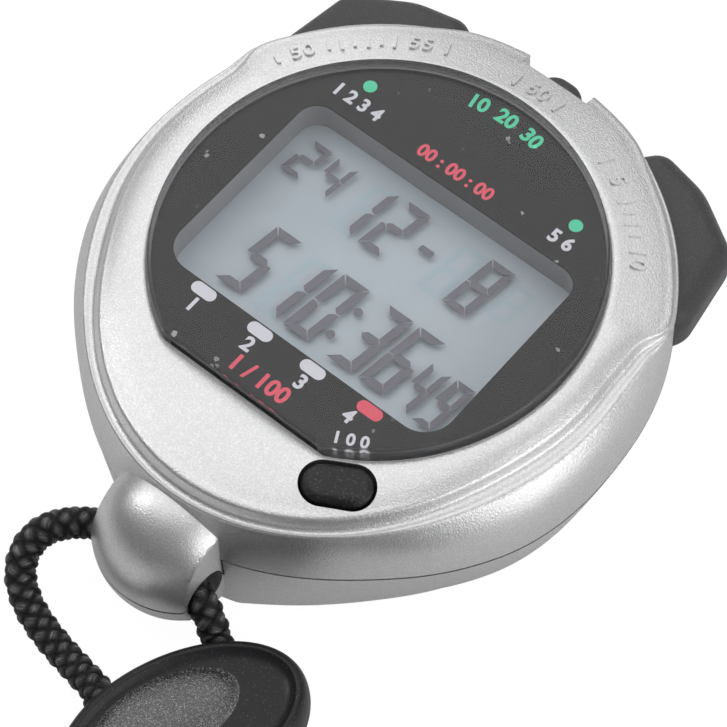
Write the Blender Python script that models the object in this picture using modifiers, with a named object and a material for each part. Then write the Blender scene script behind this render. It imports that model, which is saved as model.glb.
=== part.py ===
"""A hand-held digital stopwatch with its neck cord, as separate pieces at their real size.

Sizes are in millimetres until a shape is made, and the object is in metres with +Z up. The watch lies
on its back: Z 0 is the back face, +Y is the top edge with the recall button, and the cord's lug is at
-Y. Shapes are drawn round the lens centre, and each is placed with the middle of the watch at the
origin.
"""

import math

import bmesh
import bpy
from mathutils import Matrix, Vector

MM = 0.001
SEAT = 0.3  # gap left between two pieces that touch

# The case: plan sizes follow its radius, and heights follow its parting line and its lens
BODY_RADIUS = 33.1  # at the parting line, in its lower half
PLAN = BODY_RADIUS / 33.1
LENS_TOP_Z = 22.0
PART_Z = 10.27
LENS_PROUD = 1.43
TOP_Z = LENS_TOP_Z - LENS_PROUD
UPPER_RADIUS = 32.0 * PLAN  # at the parting line, in its upper half
WAIST_ANGLES = (62.0, 97.0)  # from 6 o'clock, where the radius falls from one to the other
CHIN = 2.2 * PLAN  # how much further the case reaches at 6 o'clock
CHIN_HALF_ANGLE = 44.0
BACK_INSET = 4.6 * PLAN  # the back face is this much smaller than the parting line
BACK_LEAST_INSET = 0.12  # the share of that inset left under the lug
BACK_INSET_ANGLES = (12.0, 52.0)
PART_LINE = 0.2
WALL = 2.0
FLOOR = 1.6
CEILING_Z = TOP_Z - 3.57
DOME_FOOT_RADIUS = 29.0 * PLAN
DOME_FOOT_Z = TOP_Z - 1.12
DOME_CHIN = 3.9 * PLAN
DOME_CHIN_HALF_ANGLE = 66.0
DOME_START_RADIUS = 25.2 * PLAN
VALLEY_Z = TOP_Z - 2.47
CREST_Z = TOP_Z - 2.22
GROOVE_WIDTH = 0.9
GROOVE_ROOM = (0.8, 2.6)  # the groove fades as the room outside the dome falls between these
PLATE_SLOPE = 0.37
# The plate's edge: how far it stands outside the dome's foot, at each angle from 6 o'clock
PLATE_EDGE = (
    (100.0, 0.0),
    (104.0, 0.2),
    (106.5, 0.5),
    (109.0, 1.2),
    (111.5, 2.3),
    (114.0, 3.1),
    (117.0, 3.0),
    (121.0, 2.6),
    (128.0, 2.45),
    (144.0, 2.35),
    (150.0, 2.45),
    (154.0, 2.75),
    (158.0, 3.15),
    (163.0, 3.2),
    (168.0, 3.05),
    (180.0, 2.9),
)
# Where the case's outline has its points, from 6 o'clock to 12
HALF_ROUND = tuple(range(0, 97, 6)) + (
    101, 104, 106.5, 109, 111.5, 114, 117, 121, 128, 136, 144, 150, 154, 158, 163, 168, 174, 180
)
OUTER_ROUND = HALF_ROUND + tuple(360 - angle for angle in HALF_ROUND[-2:0:-1])
INNER_ROUND = tuple(7.5 * index for index in range(48))  # and round its hollow
TONGUE_EASE = 0.25
TONGUE_WALL = 1.0
TONGUE_Z = (PART_Z - 3.07, PART_Z + 1.03)
TONGUE_END_Y = 7.0 * PLAN
FAR = 60.0  # cutters reach this far past the case

# The lens and the display
LENS_RADIUS = 24.48 * PLAN
LENS_CHORD_Y = -21.9 * PLAN
LENS_THICK = 2.3
LENS_EASE = 0.15
LENS_EDGE = 0.35
MASK_THICK = 0.3
MASK_GAP = 0.2
WINDOW_X = 18.5 * PLAN
WINDOW_Y = (-14.0 * PLAN, 11.3 * PLAN)
WINDOW_TOP_ROUND = 2.5
WINDOW_BOTTOM_ROUND = 3.5
WINDOW_MARGIN = 0.7  # the case's window is this much larger than the mask's
GLASS_HALF_WIDTH = 20.0 * PLAN
GLASS_Y = (-15.3 * PLAN, 12.6 * PLAN)
GLASS_Z = (CEILING_Z - 3.3, CEILING_Z - 1.1)
FRAME_WALL = 1.2
FRAME_ROUND = 3.0
FRAME_LIP = 0.5
FRAME_VIEW = (1.1, 0.9)  # how far the lip covers the glass, at its ends and its sides
STRIP_WIDTH = 2.0
STRIP_HALF_LENGTH = 17.5 * PLAN

# The circuit board
BOARD_RADIUS = 28.3 * PLAN
BOARD_Z = (PART_Z - 1.17, PART_Z + 0.03)
BOARD_TOP_Y = 27.5 * PLAN
BOARD_POSTS = ((8.5 * PLAN, 17.3 * PLAN), (-8.5 * PLAN, 17.3 * PLAN), (-9.0 * PLAN, -21.3 * PLAN))
POST_RADIUS = 2.0
SIDE_BOSS = (24.2 * PLAN, 3.0 * PLAN)
CASE_BOSSES = (SIDE_BOSS, (-SIDE_BOSS[0], SIDE_BOSS[1]), (0.0, -24.3 * PLAN), (0.0, 19.5 * PLAN))
BOSS_RADIUS = 2.1
BOSS_END_Z = PART_Z - 1.37
COLUMN_RADIUS = 3.4
SCREW_RADIUS = 1.0
SCREW_EASE = 0.2
SCREW_CLEAR = 0.3
CASE_SCREW_HEAD = (1.9, 1.3)
CASE_SCREW_SEAT_Z = BOSS_END_Z - 3.9
CASE_SCREW_LENGTH = 8.5
BOARD_SCREW_HEAD = (1.7, 1.1)
BOARD_SCREW_LENGTH = 5.0
PILOT_SPARE = 0.8

# The battery, the sounder and the parts on the board
BATTERY_AT = (0.0, -8.5 * PLAN)
BATTERY_RADIUS = 10.0
BATTERY_Z = (BOARD_Z[0] - 4.2, BOARD_Z[0] - 1.0)
CLIP_HALF_WIDTH = 3.0
CLIP_THICK = 0.35
CONTACT_HALF = (4.5, 2.5)
SOUNDER_AT = (-11.5 * PLAN, 9.2 * PLAN)
SOUNDER_RADIUS = 10.0 * PLAN
SOUNDER_THICK = 0.4
SOUNDER_SEAT_WALL = 0.9
SOUNDER_SEAT_Z = (FLOOR - 0.6, FLOOR + 1.3)
SOUND_HOLES = 6
SOUND_HOLE_RADIUS = 0.7
SOUND_HOLE_SPREAD = 3.4
SPRING_OFFSETS = (0.0, -6.5 * PLAN)
SPRING_WIRE = 0.4
SPRING_RADIUS = 1.3
SPRING_TURNS = 5
CHIP_AT = (1.5 * PLAN, 8.2 * PLAN)
CHIP_RADIUS = 4.5
CRYSTAL_AT = (14.0 * PLAN, 8.0 * PLAN)
CRYSTAL_SIZE = (1.0, 6.0)

# The buttons
TRAVEL = 1.2
SIDE_ANGLE = 50.0  # the right button slides along this direction, from +X towards +Y
SIDE_Z = (PART_Z + 0.3, CEILING_Z - 0.4)
SIDE_TALL = SIDE_Z[1] - SIDE_Z[0]
SIDE_OPENING = (-11.1 * PLAN, 11.9 * PLAN)
SIDE_FLANGE_S = (25.7 * PLAN, 25.7 * PLAN + 1.3)
SIDE_FLANGE_T = (-13.7 * PLAN, 13.0 * PLAN)
SIDE_FLANGE_Z = (SIDE_Z[0] + 0.1, SIDE_Z[0] + 0.535 * SIDE_TALL)
SIDE_ROUND = 0.365 * SIDE_TALL
NUB_Z = (SIDE_Z[0] + 0.13 * SIDE_TALL, SIDE_Z[0] + 0.43 * SIDE_TALL)
NUB_T = -5.0 * PLAN
NUB_LENGTH = 0.8
NUB_HALF_WIDTH = 1.2
LEAF_Z = (BOARD_Z[1] + SEAT, SIDE_FLANGE_Z[1] - 0.2)
LEAF_THICK = 0.3
# A side contact's bends, from where the nub meets it: inwards, then along the case
SIDE_LEAF = ((-1.9, 6.0), (-1.9, 3.6), (-0.9, 2.0), (0.0, 0.0), (-0.3, -2.0), (-1.1, -3.4))
# A side button's outer corners, and the radius of each of its five corners
SIDE_CORNERS = (
    (31.3 * PLAN, SIDE_OPENING[0] + SEAT),
    (34.6 * PLAN, -9.8 * PLAN),
    (37.2 * PLAN, 3.0 * PLAN),
    (36.7 * PLAN, 5.9 * PLAN),
    (30.2 * PLAN, SIDE_OPENING[1] - SEAT),
)
SIDE_CORNER_RADII = tuple(SIDE_ROUND + over for over in (0.8, 0.4, 2.8, 1.0, 0.8))
RECALL_HALF_WIDTH = 2.85
RECALL_FLANGE_HALF_WIDTH = 4.6
RECALL_END_Y = 33.35 * PLAN
RECALL_Z = (PART_Z + 0.53, CEILING_Z - 1.0)
RECALL_ROUND = 1.3
RECALL_CORNER = 2.4
RECALL_EASE = 0.25
NOTCH_HALF_WIDTH = 4.5
NOTCH_FLOOR_Y = UPPER_RADIUS - 1.9
NOTCH_WALL_Y = UPPER_RADIUS - 3.9
NOTCH_BLOCK_HALF_WIDTH = 6.5
NOTCH_BLOCK_END_Y = UPPER_RADIUS - 1.4
RECALL_FLANGE_Y = (NOTCH_WALL_Y - 1.6, NOTCH_WALL_Y - SEAT)
RECALL_NUB_LENGTH = 0.5
# The recall contact's bends, from where the nub meets it
RECALL_LEAF = ((-5.4, -1.7), (-3.4, -1.5), (-1.8, -0.4), (0.0, 0.0), (2.0, -0.3), (3.4, -1.1))
MODE_OUT = LENS_RADIUS + 3.12  # from the lens centre
MODE_ANGLE = 30.96  # from 6 o'clock
MODE_AT = (
    MODE_OUT * math.sin(math.radians(MODE_ANGLE)),
    -MODE_OUT * math.cos(math.radians(MODE_ANGLE)),
)
MODE_TURN = 30.0
MODE_HOLE = (8.4, 5.3)
MODE_EASE = 0.25
MODE_TOP_Z = TOP_Z + 0.38
MODE_ROUND = 0.9
MODE_FLANGE_OVER = 0.45
MODE_FLANGE_THICK = 1.0
MODE_STEM_AT = (MODE_AT[0] - 0.9, MODE_AT[1] + 1.47)
MODE_STEM_RADIUS = 1.2
DOME_TOP_Z = CEILING_Z - 3.1

# The lug
LUG_AT = (0.35, -34.2 * PLAN, 8.0)
LUG_HALF = (9.2, 8.5)
LUG_UP = 9.5
LUG_DOWN = 7.0
LUG_HALF_WIDTH = 6.5
LUG_PART_Z = 6.9
LUG_INNER_Y = LUG_AT[1] + 2.7
LUG_EASE = 0.2
TUNNEL_Y = LUG_AT[1] - 2.8
TUNNEL_Z = 6.8

# The cord and its clasp
CORD = 3.5
CORD_EASE = 0.1
CORD_LOW = CORD / 2 + CORD_EASE  # the height of its middle where it lies on the table
TUNNEL_RADIUS = CORD / 2 + 0.55
MOUTH_RADIUS = TUNNEL_RADIUS + 0.5
MOUTH_DEPTH = 2.4
CLASP_AT = (14.9, LUG_AT[1] - 15.5)
CLASP_TURN = 66.7
CLASP_HALF = (13.95, 8.6)
CLASP_TOP_Z = 7.1
CLASP_BORE_U = 6.8
CLASP_BORE_Z = 3.6
CLASP_BORE_RADIUS = CORD / 2 + 0.3
CLASP_MOUTH_V = (4.6, 8.6)  # the bore widens between these distances
CLASP_MOUTH_RADIUS = CLASP_BORE_RADIUS + 0.95
# The cord between the clasp's left bore and the lug's left end: across, away from the tunnel's
# middle, and above the height it has on the table
LUG_CORD_BEND = (
    (4.4, -14.5, 1.35),
    (1.4, -13.8, 0.55),
    (-2.2, -13.15, 0.2),
    (-5.4, -12.5, 0.55),
    (-8.4, -11.5, 1.45),
    (-10.6, -9.9, 2.75),
    (-11.5, -7.7, 4.05),
    (-11.1, -5.3, 4.95),
    (-9.5, -3.1, 5.3),
    (-7.3, -1.35, 5.25),
    (-5.0, -0.25, 5.1),
)
COIL_OUT = 31.0  # from the clasp's side to the coil's centre
COIL_OUTER = 25.0
COIL_DIP = 1.2  # how far the half turn that climbs lies inside the others
COIL_PITCH = CORD + 0.5
COIL_LAYER = CORD + 0.5
COIL_TURNS = 3.0
LOOP_POINTS = 24
# The neck cord's two ends: across, as a share of the way to the coil's centre, and above the height
# it has on the table
NECK_OUT = (
    (-7.6, 0.10, 1.15),
    (-10.6, 0.23, 0.3),
    (-16.0, 0.35, 0.0),
    (-20.6, 0.52, 0.0),
    (-23.9, 0.72, 0.0),
)
NECK_BACK = (
    (24.4, 0.72, 3.2),
    (22.2, 0.51, 1.8),
    (18.0, 0.335, 1.0),
    (12.8, 0.21, 0.1),
    (8.4, 0.10, 0.75),
)
TIE_WIDTH = 3.5
TIE_THICK = 0.5
TIE_LIFT_ANGLE = 50.0
TIE_ROUND = 1.7
TIE_Z = 0.1

WATCH_MIDDLE = Vector((0, 4.5, 0))  # the lens centre, from the middle of the watch

SIDE = math.radians(SIDE_ANGLE)
SIDE_S = Vector((math.cos(SIDE), math.sin(SIDE), 0))
SIDE_T = Vector((math.sin(SIDE), -math.cos(SIDE), 0))
CLASP_U = Vector((math.cos(math.radians(CLASP_TURN)), math.sin(math.radians(CLASP_TURN)), 0))
CLASP_V = Vector((CLASP_U.y, -CLASP_U.x, 0))

parts = None
cutters = None
materials = {}

FINISHES = {
    "silver_plastic": ((0.60, 0.60, 0.61), 0.75, 0.35),
    "black_rubber": ((0.035, 0.036, 0.038), 0.0, 0.55),
    "clear_acrylic": ((0.80, 0.84, 0.86), 0.0, 0.05),
    "dark_print": ((0.055, 0.055, 0.058), 0.0, 0.45),
    "display_glass": ((0.35, 0.40, 0.42), 0.0, 0.12),
    "white_plastic": ((0.75, 0.75, 0.73), 0.0, 0.5),
    "conductive_rubber": ((0.25, 0.12, 0.12), 0.0, 0.6),
    "board_green": ((0.03, 0.16, 0.07), 0.0, 0.4),
    "black_resin": ((0.02, 0.02, 0.02), 0.0, 0.35),
    "steel": ((0.62, 0.62, 0.63), 1.0, 0.3),
    "brass": ((0.75, 0.58, 0.25), 1.0, 0.3),
    "clasp_plastic": ((0.07, 0.072, 0.075), 0.0, 0.42),
    "black_braid": ((0.018, 0.018, 0.02), 0.0, 0.75),
    "tie_strip": ((0.05, 0.05, 0.055), 0.0, 0.6),
}


def clear_scene():
    for item in list(bpy.data.objects):
        bpy.data.objects.remove(item, do_unlink=True)


def make_collection(name):
    made = bpy.data.collections.new(name)
    bpy.context.scene.collection.children.link(made)
    return made


def finish(name):
    """The named finish as a material with a Principled BSDF."""
    if name not in materials:
        made = bpy.data.materials.new(name)
        made.use_nodes = True
        shader = made.node_tree.nodes["Principled BSDF"]
        colour, metallic, roughness = FINISHES[name]
        shader.inputs["Base Color"].default_value = (*colour, 1)
        shader.inputs["Metallic"].default_value = metallic
        shader.inputs["Roughness"].default_value = roughness
        made.diffuse_color = (*colour, 1)
        materials[name] = made
    return materials[name]


def place(name, drawn, origin=(0, 0, 0)):
    """An object from a bmesh in millimetres, its origin at a point of the drawing."""
    origin = Vector(origin)
    bmesh.ops.translate(drawn, vec=-origin, verts=drawn.verts)
    bmesh.ops.scale(drawn, vec=(MM, MM, MM), verts=drawn.verts)
    bmesh.ops.recalc_face_normals(drawn, faces=drawn.faces)
    mesh = bpy.data.meshes.new(name)
    drawn.to_mesh(mesh)
    drawn.free()
    made = bpy.data.objects.new(name, mesh)
    made.location = (origin + WATCH_MIDDLE) * MM
    return made


def part(name, drawn, look, origin=(0, 0, 0)):
    made = place(name, drawn, origin)
    made.data.materials.append(finish(look))
    parts.objects.link(made)
    return made


def helper(name, drawn, origin=(0, 0, 0)):
    made = place(name, drawn, origin)
    made.hide_render = True
    made.display_type = "WIRE"
    cutters.objects.link(made)
    return made


def combine(body, operation, name, tool):
    """A Boolean of the body with a helper, or with a shape drawn in millimetres."""
    if isinstance(tool, bmesh.types.BMesh):
        tool = helper(f"{operation.lower()}_{name}", tool)
    step = body.modifiers.new(name, "BOOLEAN")
    step.operation = operation
    step.solver = "EXACT"
    step.object = tool


def cut(body, name, tool):
    combine(body, "DIFFERENCE", name, tool)


def join(body, name, tool):
    combine(body, "UNION", name, tool)


def shade(made, angle=35):
    made.data.shade_smooth()
    made.data.set_sharp_from_angle(angle=math.radians(angle))


def box(x, y, z):
    """A block between the pairs x, y and z."""
    made = bmesh.new()
    bmesh.ops.create_cube(made, size=1)
    bmesh.ops.scale(made, vec=(x[1] - x[0], y[1] - y[0], z[1] - z[0]), verts=made.verts)
    middle = Vector(((x[0] + x[1]) / 2, (y[0] + y[1]) / 2, (z[0] + z[1]) / 2))
    bmesh.ops.translate(made, vec=middle, verts=made.verts)
    return made


def rod(at, z, radius, points=20):
    """An upright round bar at the point, between the heights z."""
    made = bmesh.new()
    height = z[1] - z[0]
    bmesh.ops.create_cone(
        made, cap_ends=True, segments=points, radius1=radius, radius2=radius, depth=height
    )
    bmesh.ops.translate(made, vec=(at[0], at[1], z[0] + height / 2), verts=made.verts)
    return made


def together(shapes):
    """Shapes that don't meet, in one bmesh."""
    made = bmesh.new()
    for shape in shapes:
        mesh = bpy.data.meshes.new("shape")
        shape.to_mesh(mesh)
        shape.free()
        made.from_mesh(mesh)
        bpy.data.meshes.remove(mesh)
    return made


def side_line(profile, at):
    """The profile of (radius, height) as a line beside the axis at a point."""
    made = bmesh.new()
    closed = profile[0] == profile[-1]
    points = profile[:-1] if closed else profile
    line = [made.verts.new((at[0] + radius, at[1], height)) for radius, height in points]
    for first, second in zip(line, line[1:]):
        made.edges.new((first, second))
    if closed:
        made.edges.new((line[-1], line[0]))
    return made


def spin(made, steps):
    """Turns an object's profile round its own upright axis."""
    step = made.modifiers.new("turned", "SCREW")
    step.axis = "Z"
    step.angle = 2 * math.pi
    step.steps = steps
    step.render_steps = steps
    step.use_merge_vertices = True
    step.merge_threshold = 0.00001


def turned(name, profile, at, look, steps):
    """A turned piece, from a profile that runs down its outer side."""
    made = part(name, side_line(profile, at), look, (*at, 0))
    spin(made, steps)
    return made


def turned_helper(name, profile, at, steps, turn=None):
    """A turned helper; its axis may lie another way."""
    made = helper(name, side_line(profile, at), (at[0], at[1], 0))
    spin(made, steps)
    if turn is not None:
        made.rotation_euler = turn.to_euler()
    return made


def arc_points(middle, radius, start, end, count):
    """Points on an arc, in degrees from start to end."""
    found = []
    for index in range(count + 1):
        angle = math.radians(start + (end - start) * index / count)
        found.append((middle[0] + radius * math.cos(angle), middle[1] + radius * math.sin(angle)))
    return found


def rounded(corners, radii, count=5):
    """The outline through the corners, each rounded by its radius."""
    found = []
    for index, corner in enumerate(corners):
        here = Vector(corner)
        before = (Vector(corners[index - 1]) - here).normalized()
        after = (Vector(corners[(index + 1) % len(corners)]) - here).normalized()
        radius = radii[index]
        if radius == 0:
            found.append(tuple(here))
            continue
        half = before.angle(after) / 2
        centre = here + (before + after).normalized() * (radius / math.sin(half))
        start = here + before * (radius / math.tan(half)) - centre
        end = here + after * (radius / math.tan(half)) - centre
        sweep = start.angle_signed(end)
        for step in range(count + 1):
            turn = Matrix.Rotation(-sweep * step / count, 2)
            found.append(tuple(centre + turn @ start))
    return found


def rounded_box(x, y, radii, count=5):
    """The outline of a rectangle, its corner radii from lower left, counter-clockwise."""
    corners = ((x[0], y[0]), (x[1], y[0]), (x[1], y[1]), (x[0], y[1]))
    return rounded(corners, radii, count)


def stadium(length, width, at, degrees, count=6):
    """A slot's outline: two half circles joined by straight sides."""
    reach = (length - width) / 2
    points = arc_points((reach, 0), width / 2, -90, 90, count)
    points += arc_points((-reach, 0), width / 2, 90, 270, count)
    turn = Matrix.Rotation(math.radians(degrees), 2)
    return [tuple(turn @ Vector(point) + Vector(at)) for point in points]


def plate(outline, z, holes=()):
    """A flat outline, with its holes, given thickness between the heights z."""
    line = bpy.data.curves.new("outline", "CURVE")
    line.dimensions = "2D"
    line.fill_mode = "BOTH"
    line.extrude = (z[1] - z[0]) / 2
    for loop in (outline, *holes):
        run = line.splines.new("POLY")
        run.points.add(len(loop) - 1)
        for knot, (x, y) in zip(run.points, loop):
            knot.co = (x, y, 0, 1)
        run.use_cyclic_u = True
    holder = bpy.data.objects.new("outline", line)
    mesh = bpy.data.meshes.new_from_object(holder)
    bpy.data.objects.remove(holder)
    bpy.data.curves.remove(line)
    made = bmesh.new()
    made.from_mesh(mesh)
    bpy.data.meshes.remove(mesh)
    bmesh.ops.remove_doubles(made, verts=made.verts, dist=0.001)
    if not holes:
        bmesh.ops.dissolve_limit(made, angle_limit=0.001, verts=made.verts, edges=made.edges)
    bmesh.ops.translate(made, vec=(0, 0, (z[0] + z[1]) / 2), verts=made.verts)
    bmesh.ops.recalc_face_normals(made, faces=made.faces)
    return made


def ribbon(points, thick, z):
    """A bent strip standing on edge: its plan is a line with thickness."""
    left = []
    right = []
    for index, point in enumerate(points):
        here = Vector(point)
        before = Vector(points[max(index - 1, 0)])
        after = Vector(points[min(index + 1, len(points) - 1)])
        along = (after - before).normalized()
        across = Vector((-along.y, along.x)) * thick / 2
        left.append(tuple(here + across))
        right.append(tuple(here - across))
    return plate(left + right[::-1], z)


def soften(shape, width, segments, wanted):
    """Rounds the edges that the test picks."""
    edges = [edge for edge in shape.edges if wanted(edge)]
    bmesh.ops.bevel(
        shape,
        geom=edges,
        offset=width,
        offset_type="OFFSET",
        segments=segments,
        profile=0.5,
        affect="EDGES",
        clamp_overlap=False,
    )
    return shape


def level(edge):
    return abs(edge.verts[0].co.z - edge.verts[1].co.z) < 0.01


def flat_at(height):
    """A test for edges that lie at one height."""
    return lambda edge: level(edge) and abs(edge.verts[0].co.z - height) < 0.01


def slice_off(shape, point, direction):
    """Cuts a solid by a plane, drops what lies beyond it and fills the cut."""
    sliced = bmesh.ops.bisect_plane(
        shape,
        geom=shape.verts[:] + shape.edges[:] + shape.faces[:],
        plane_co=point,
        plane_no=direction,
        clear_outer=True,
    )
    rim = [item for item in sliced["geom_cut"] if isinstance(item, bmesh.types.BMEdge)]
    bmesh.ops.edgeloop_fill(shape, edges=rim)


def loft(rings):
    """A closed shell through rings with the same number of points, its two end rings filled."""
    made = bmesh.new()
    rows = [[made.verts.new(point) for point in ring] for ring in rings]
    count = len(rows[0])
    for lower, upper in zip(rows, rows[1:]):
        for index in range(count):
            after = (index + 1) % count
            made.faces.new((lower[index], lower[after], upper[after], upper[index]))
    made.faces.new(rows[0][::-1])
    made.faces.new(rows[-1])
    bmesh.ops.recalc_face_normals(made, faces=made.faces)
    return made


def smooth_step(value, low, high):
    share = min(max((value - low) / (high - low), 0), 1)
    return share * share * (3 - 2 * share)


def bulge(angle, half_angle):
    """1 at 6 o'clock, falling to 0 at the half angle from it."""
    if angle >= half_angle:
        return 0.0
    return math.cos(math.radians(angle * 90 / half_angle)) ** 2


def body_radius(angle):
    """The case's radius at the parting line, at an angle from 6 o'clock."""
    waist = smooth_step(angle, *WAIST_ANGLES)
    straight = BODY_RADIUS + (UPPER_RADIUS - BODY_RADIUS) * waist
    return straight + CHIN * bulge(angle, CHIN_HALF_ANGLE)


def dome_radius(angle):
    return DOME_FOOT_RADIUS + DOME_CHIN * bulge(angle, DOME_CHIN_HALF_ANGLE)


def plate_edge(angle):
    """How far the edge of the top stands outside the dome's foot."""
    if angle <= PLATE_EDGE[0][0]:
        return 0.0
    for (low, near), (high, far) in zip(PLATE_EDGE, PLATE_EDGE[1:]):
        if angle <= high:
            return PLAN * (near + (far - near) * (angle - low) / (high - low))
    return PLAN * PLATE_EDGE[-1][1]


def around(angles):
    """(direction, angle from 6 o'clock) for each point round the case."""
    for turn in angles:
        heading = math.radians(turn - 90)
        yield Vector((math.cos(heading), math.sin(heading), 0)), min(turn, 360 - turn)


def ring(radius_at, z, angles):
    """A ring of points whose radius depends on the angle from 6 o'clock."""
    return [direction * radius_at(away) + Vector((0, 0, z)) for direction, away in around(angles)]


def shell_top_profile(away):
    """(radius, height) down the front shell's outside, from the lens to the parting line."""
    body = body_radius(away)
    edge_z = PART_Z + PART_LINE / 2
    dome = dome_radius(away)
    out = plate_edge(away)
    foot = dome + out
    foot_z = DOME_FOOT_Z - PLATE_SLOPE * out
    rise = dome - DOME_START_RADIUS
    valley = foot + GROOVE_WIDTH
    rim = body - valley
    wall = edge_z - VALLEY_Z
    start = (
        (DOME_START_RADIUS, TOP_Z),
        (DOME_START_RADIUS + 0.35 * rise, TOP_Z - 0.22),
        (DOME_START_RADIUS + 0.70 * rise, TOP_Z - 0.62),
    )
    grooved = (
        (foot, foot_z),
        (foot + 0.25, foot_z - 0.45),
        (foot + 0.5, VALLEY_Z + 0.3),
        (valley, VALLEY_Z),
        (valley + 0.25 * rim, CREST_Z),
        (valley + 0.50 * rim, VALLEY_Z + 0.08 * wall),
        (valley + 0.78 * rim, VALLEY_Z + 0.30 * wall),
        (valley + 0.955 * rim, VALLEY_Z + 0.63 * wall),
    )
    flat = (
        (dome, DOME_FOOT_Z),
        (dome + 0.48 * out, DOME_FOOT_Z - 0.35),
        (dome + 0.76 * out, DOME_FOOT_Z - 0.70),
        (dome + 0.89 * out, DOME_FOOT_Z - 0.95),
        (dome + 0.975 * out, DOME_FOOT_Z - 1.25),
        (foot + 0.05, DOME_FOOT_Z - 1.65),
        (foot + 0.1, DOME_FOOT_Z - 2.55),
        (foot + 0.1 + 0.5 * (body - foot - 0.1), VALLEY_Z + 0.55 * wall),
    )
    share = smooth_step(body - foot, *GROOVE_ROOM)
    sides = [
        (near[0] * share + far[0] * (1 - share), near[1] * share + far[1] * (1 - share))
        for near, far in zip(grooved, flat)
    ]
    return [*start, *sides, (body, edge_z)]


def shell_outside():
    columns = [
        [direction * radius + Vector((0, 0, height)) for radius, height in shell_top_profile(away)]
        for direction, away in around(OUTER_ROUND)
    ]
    rings = [list(row) for row in zip(*columns)]
    return loft(rings)


def front_cavity():
    """The hollow under the front shell, wide at the parting line and narrower under the shoulder."""
    levels = (
        (PART_Z - 4, 0.0),
        (CEILING_Z - 3.4, 0.0),
        (CEILING_Z - 1.8, 0.5),
        (CEILING_Z - 0.6, 2.6),
        (CEILING_Z, 3.4),
    )
    rings = [
        ring(lambda away, inset=inset: body_radius(away) - WALL - inset, z, INNER_ROUND)
        for z, inset in levels
    ]
    return loft(rings)


def lug_solid():
    """A round lug with a flatter underside, cut flat at its two ends and where it meets the case."""
    made = bmesh.new()
    bmesh.ops.create_uvsphere(made, u_segments=28, v_segments=16, radius=1)
    for vert in made.verts:
        rise = LUG_UP if vert.co.z > 0 else LUG_DOWN
        vert.co = Vector((vert.co.x * LUG_HALF[0], vert.co.y * LUG_HALF[1], vert.co.z * rise))
    bmesh.ops.translate(made, vec=LUG_AT, verts=made.verts)
    for side in (1, -1):
        slice_off(made, (LUG_AT[0] + side * LUG_HALF_WIDTH, 0, 0), (side, 0, 0))
    slice_off(made, (0, LUG_INNER_Y, 0), (0, 1, 0))
    return made


def tunnel(name):
    """The bore for the cord, across the lug, wider at its two mouths."""
    neck = LUG_HALF_WIDTH - MOUTH_DEPTH
    beyond = LUG_HALF_WIDTH + 2
    flare = MOUTH_RADIUS + (MOUTH_RADIUS - TUNNEL_RADIUS) * 2 / MOUTH_DEPTH
    profile = (
        (0, beyond),
        (flare, beyond),
        (TUNNEL_RADIUS, neck),
        (TUNNEL_RADIUS, -neck),
        (flare, -beyond),
        (0, -beyond),
    )
    made = turned_helper(name, profile, (0, 0), 24, Matrix.Rotation(math.pi / 2, 3, "Y"))
    made.location = (Vector((LUG_AT[0], TUNNEL_Y, TUNNEL_Z)) + WATCH_MIDDLE) * MM
    return made


def lens_outline(radius, chord_y):
    """A circle cut off by a chord near 6 o'clock."""
    reach = math.degrees(math.asin(-chord_y / radius))
    return arc_points((0, 0), radius, -reach, 180 + reach, 56)


def side_point(s, t, mirror):
    """A point of the right side button's own frame: s outward, t along the case towards the lug."""
    point = SIDE_S * s + SIDE_T * t
    return (point.x * (-1 if mirror else 1), point.y)


def to_side(shape, mirror):
    """Moves a shape drawn in a side button's frame to its place."""
    for vert in shape.verts:
        vert.co = Vector((*side_point(vert.co.x, vert.co.y, mirror), vert.co.z))
    bmesh.ops.recalc_face_normals(shape, faces=shape.faces)
    return shape


def side_opening(body, label, mirror):
    """The opening for a side button, with the wider slot inside it for the button's flange."""
    inner = SIDE_FLANGE_S[0] - TRAVEL - 2 * SEAT
    hole = box((inner, FAR), SIDE_OPENING, (BOSS_END_Z, CEILING_Z - 0.1))
    cut(body, f"{label}_opening", to_side(hole, mirror))
    slot_t = (SIDE_FLANGE_T[0] - SEAT, SIDE_FLANGE_T[1] + SEAT)
    slot = box((inner, SIDE_FLANGE_S[1] + SEAT), slot_t, (BOSS_END_Z, SIDE_FLANGE_Z[1] + SEAT))
    cut(body, f"{label}_slot", to_side(slot, mirror))


def window_outline(margin, count=5):
    return rounded_box(
        (-WINDOW_X - margin, WINDOW_X + margin),
        (WINDOW_Y[0] - margin, WINDOW_Y[1] + margin),
        (WINDOW_BOTTOM_ROUND, WINDOW_BOTTOM_ROUND, WINDOW_TOP_ROUND, WINDOW_TOP_ROUND),
        count,
    )


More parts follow.
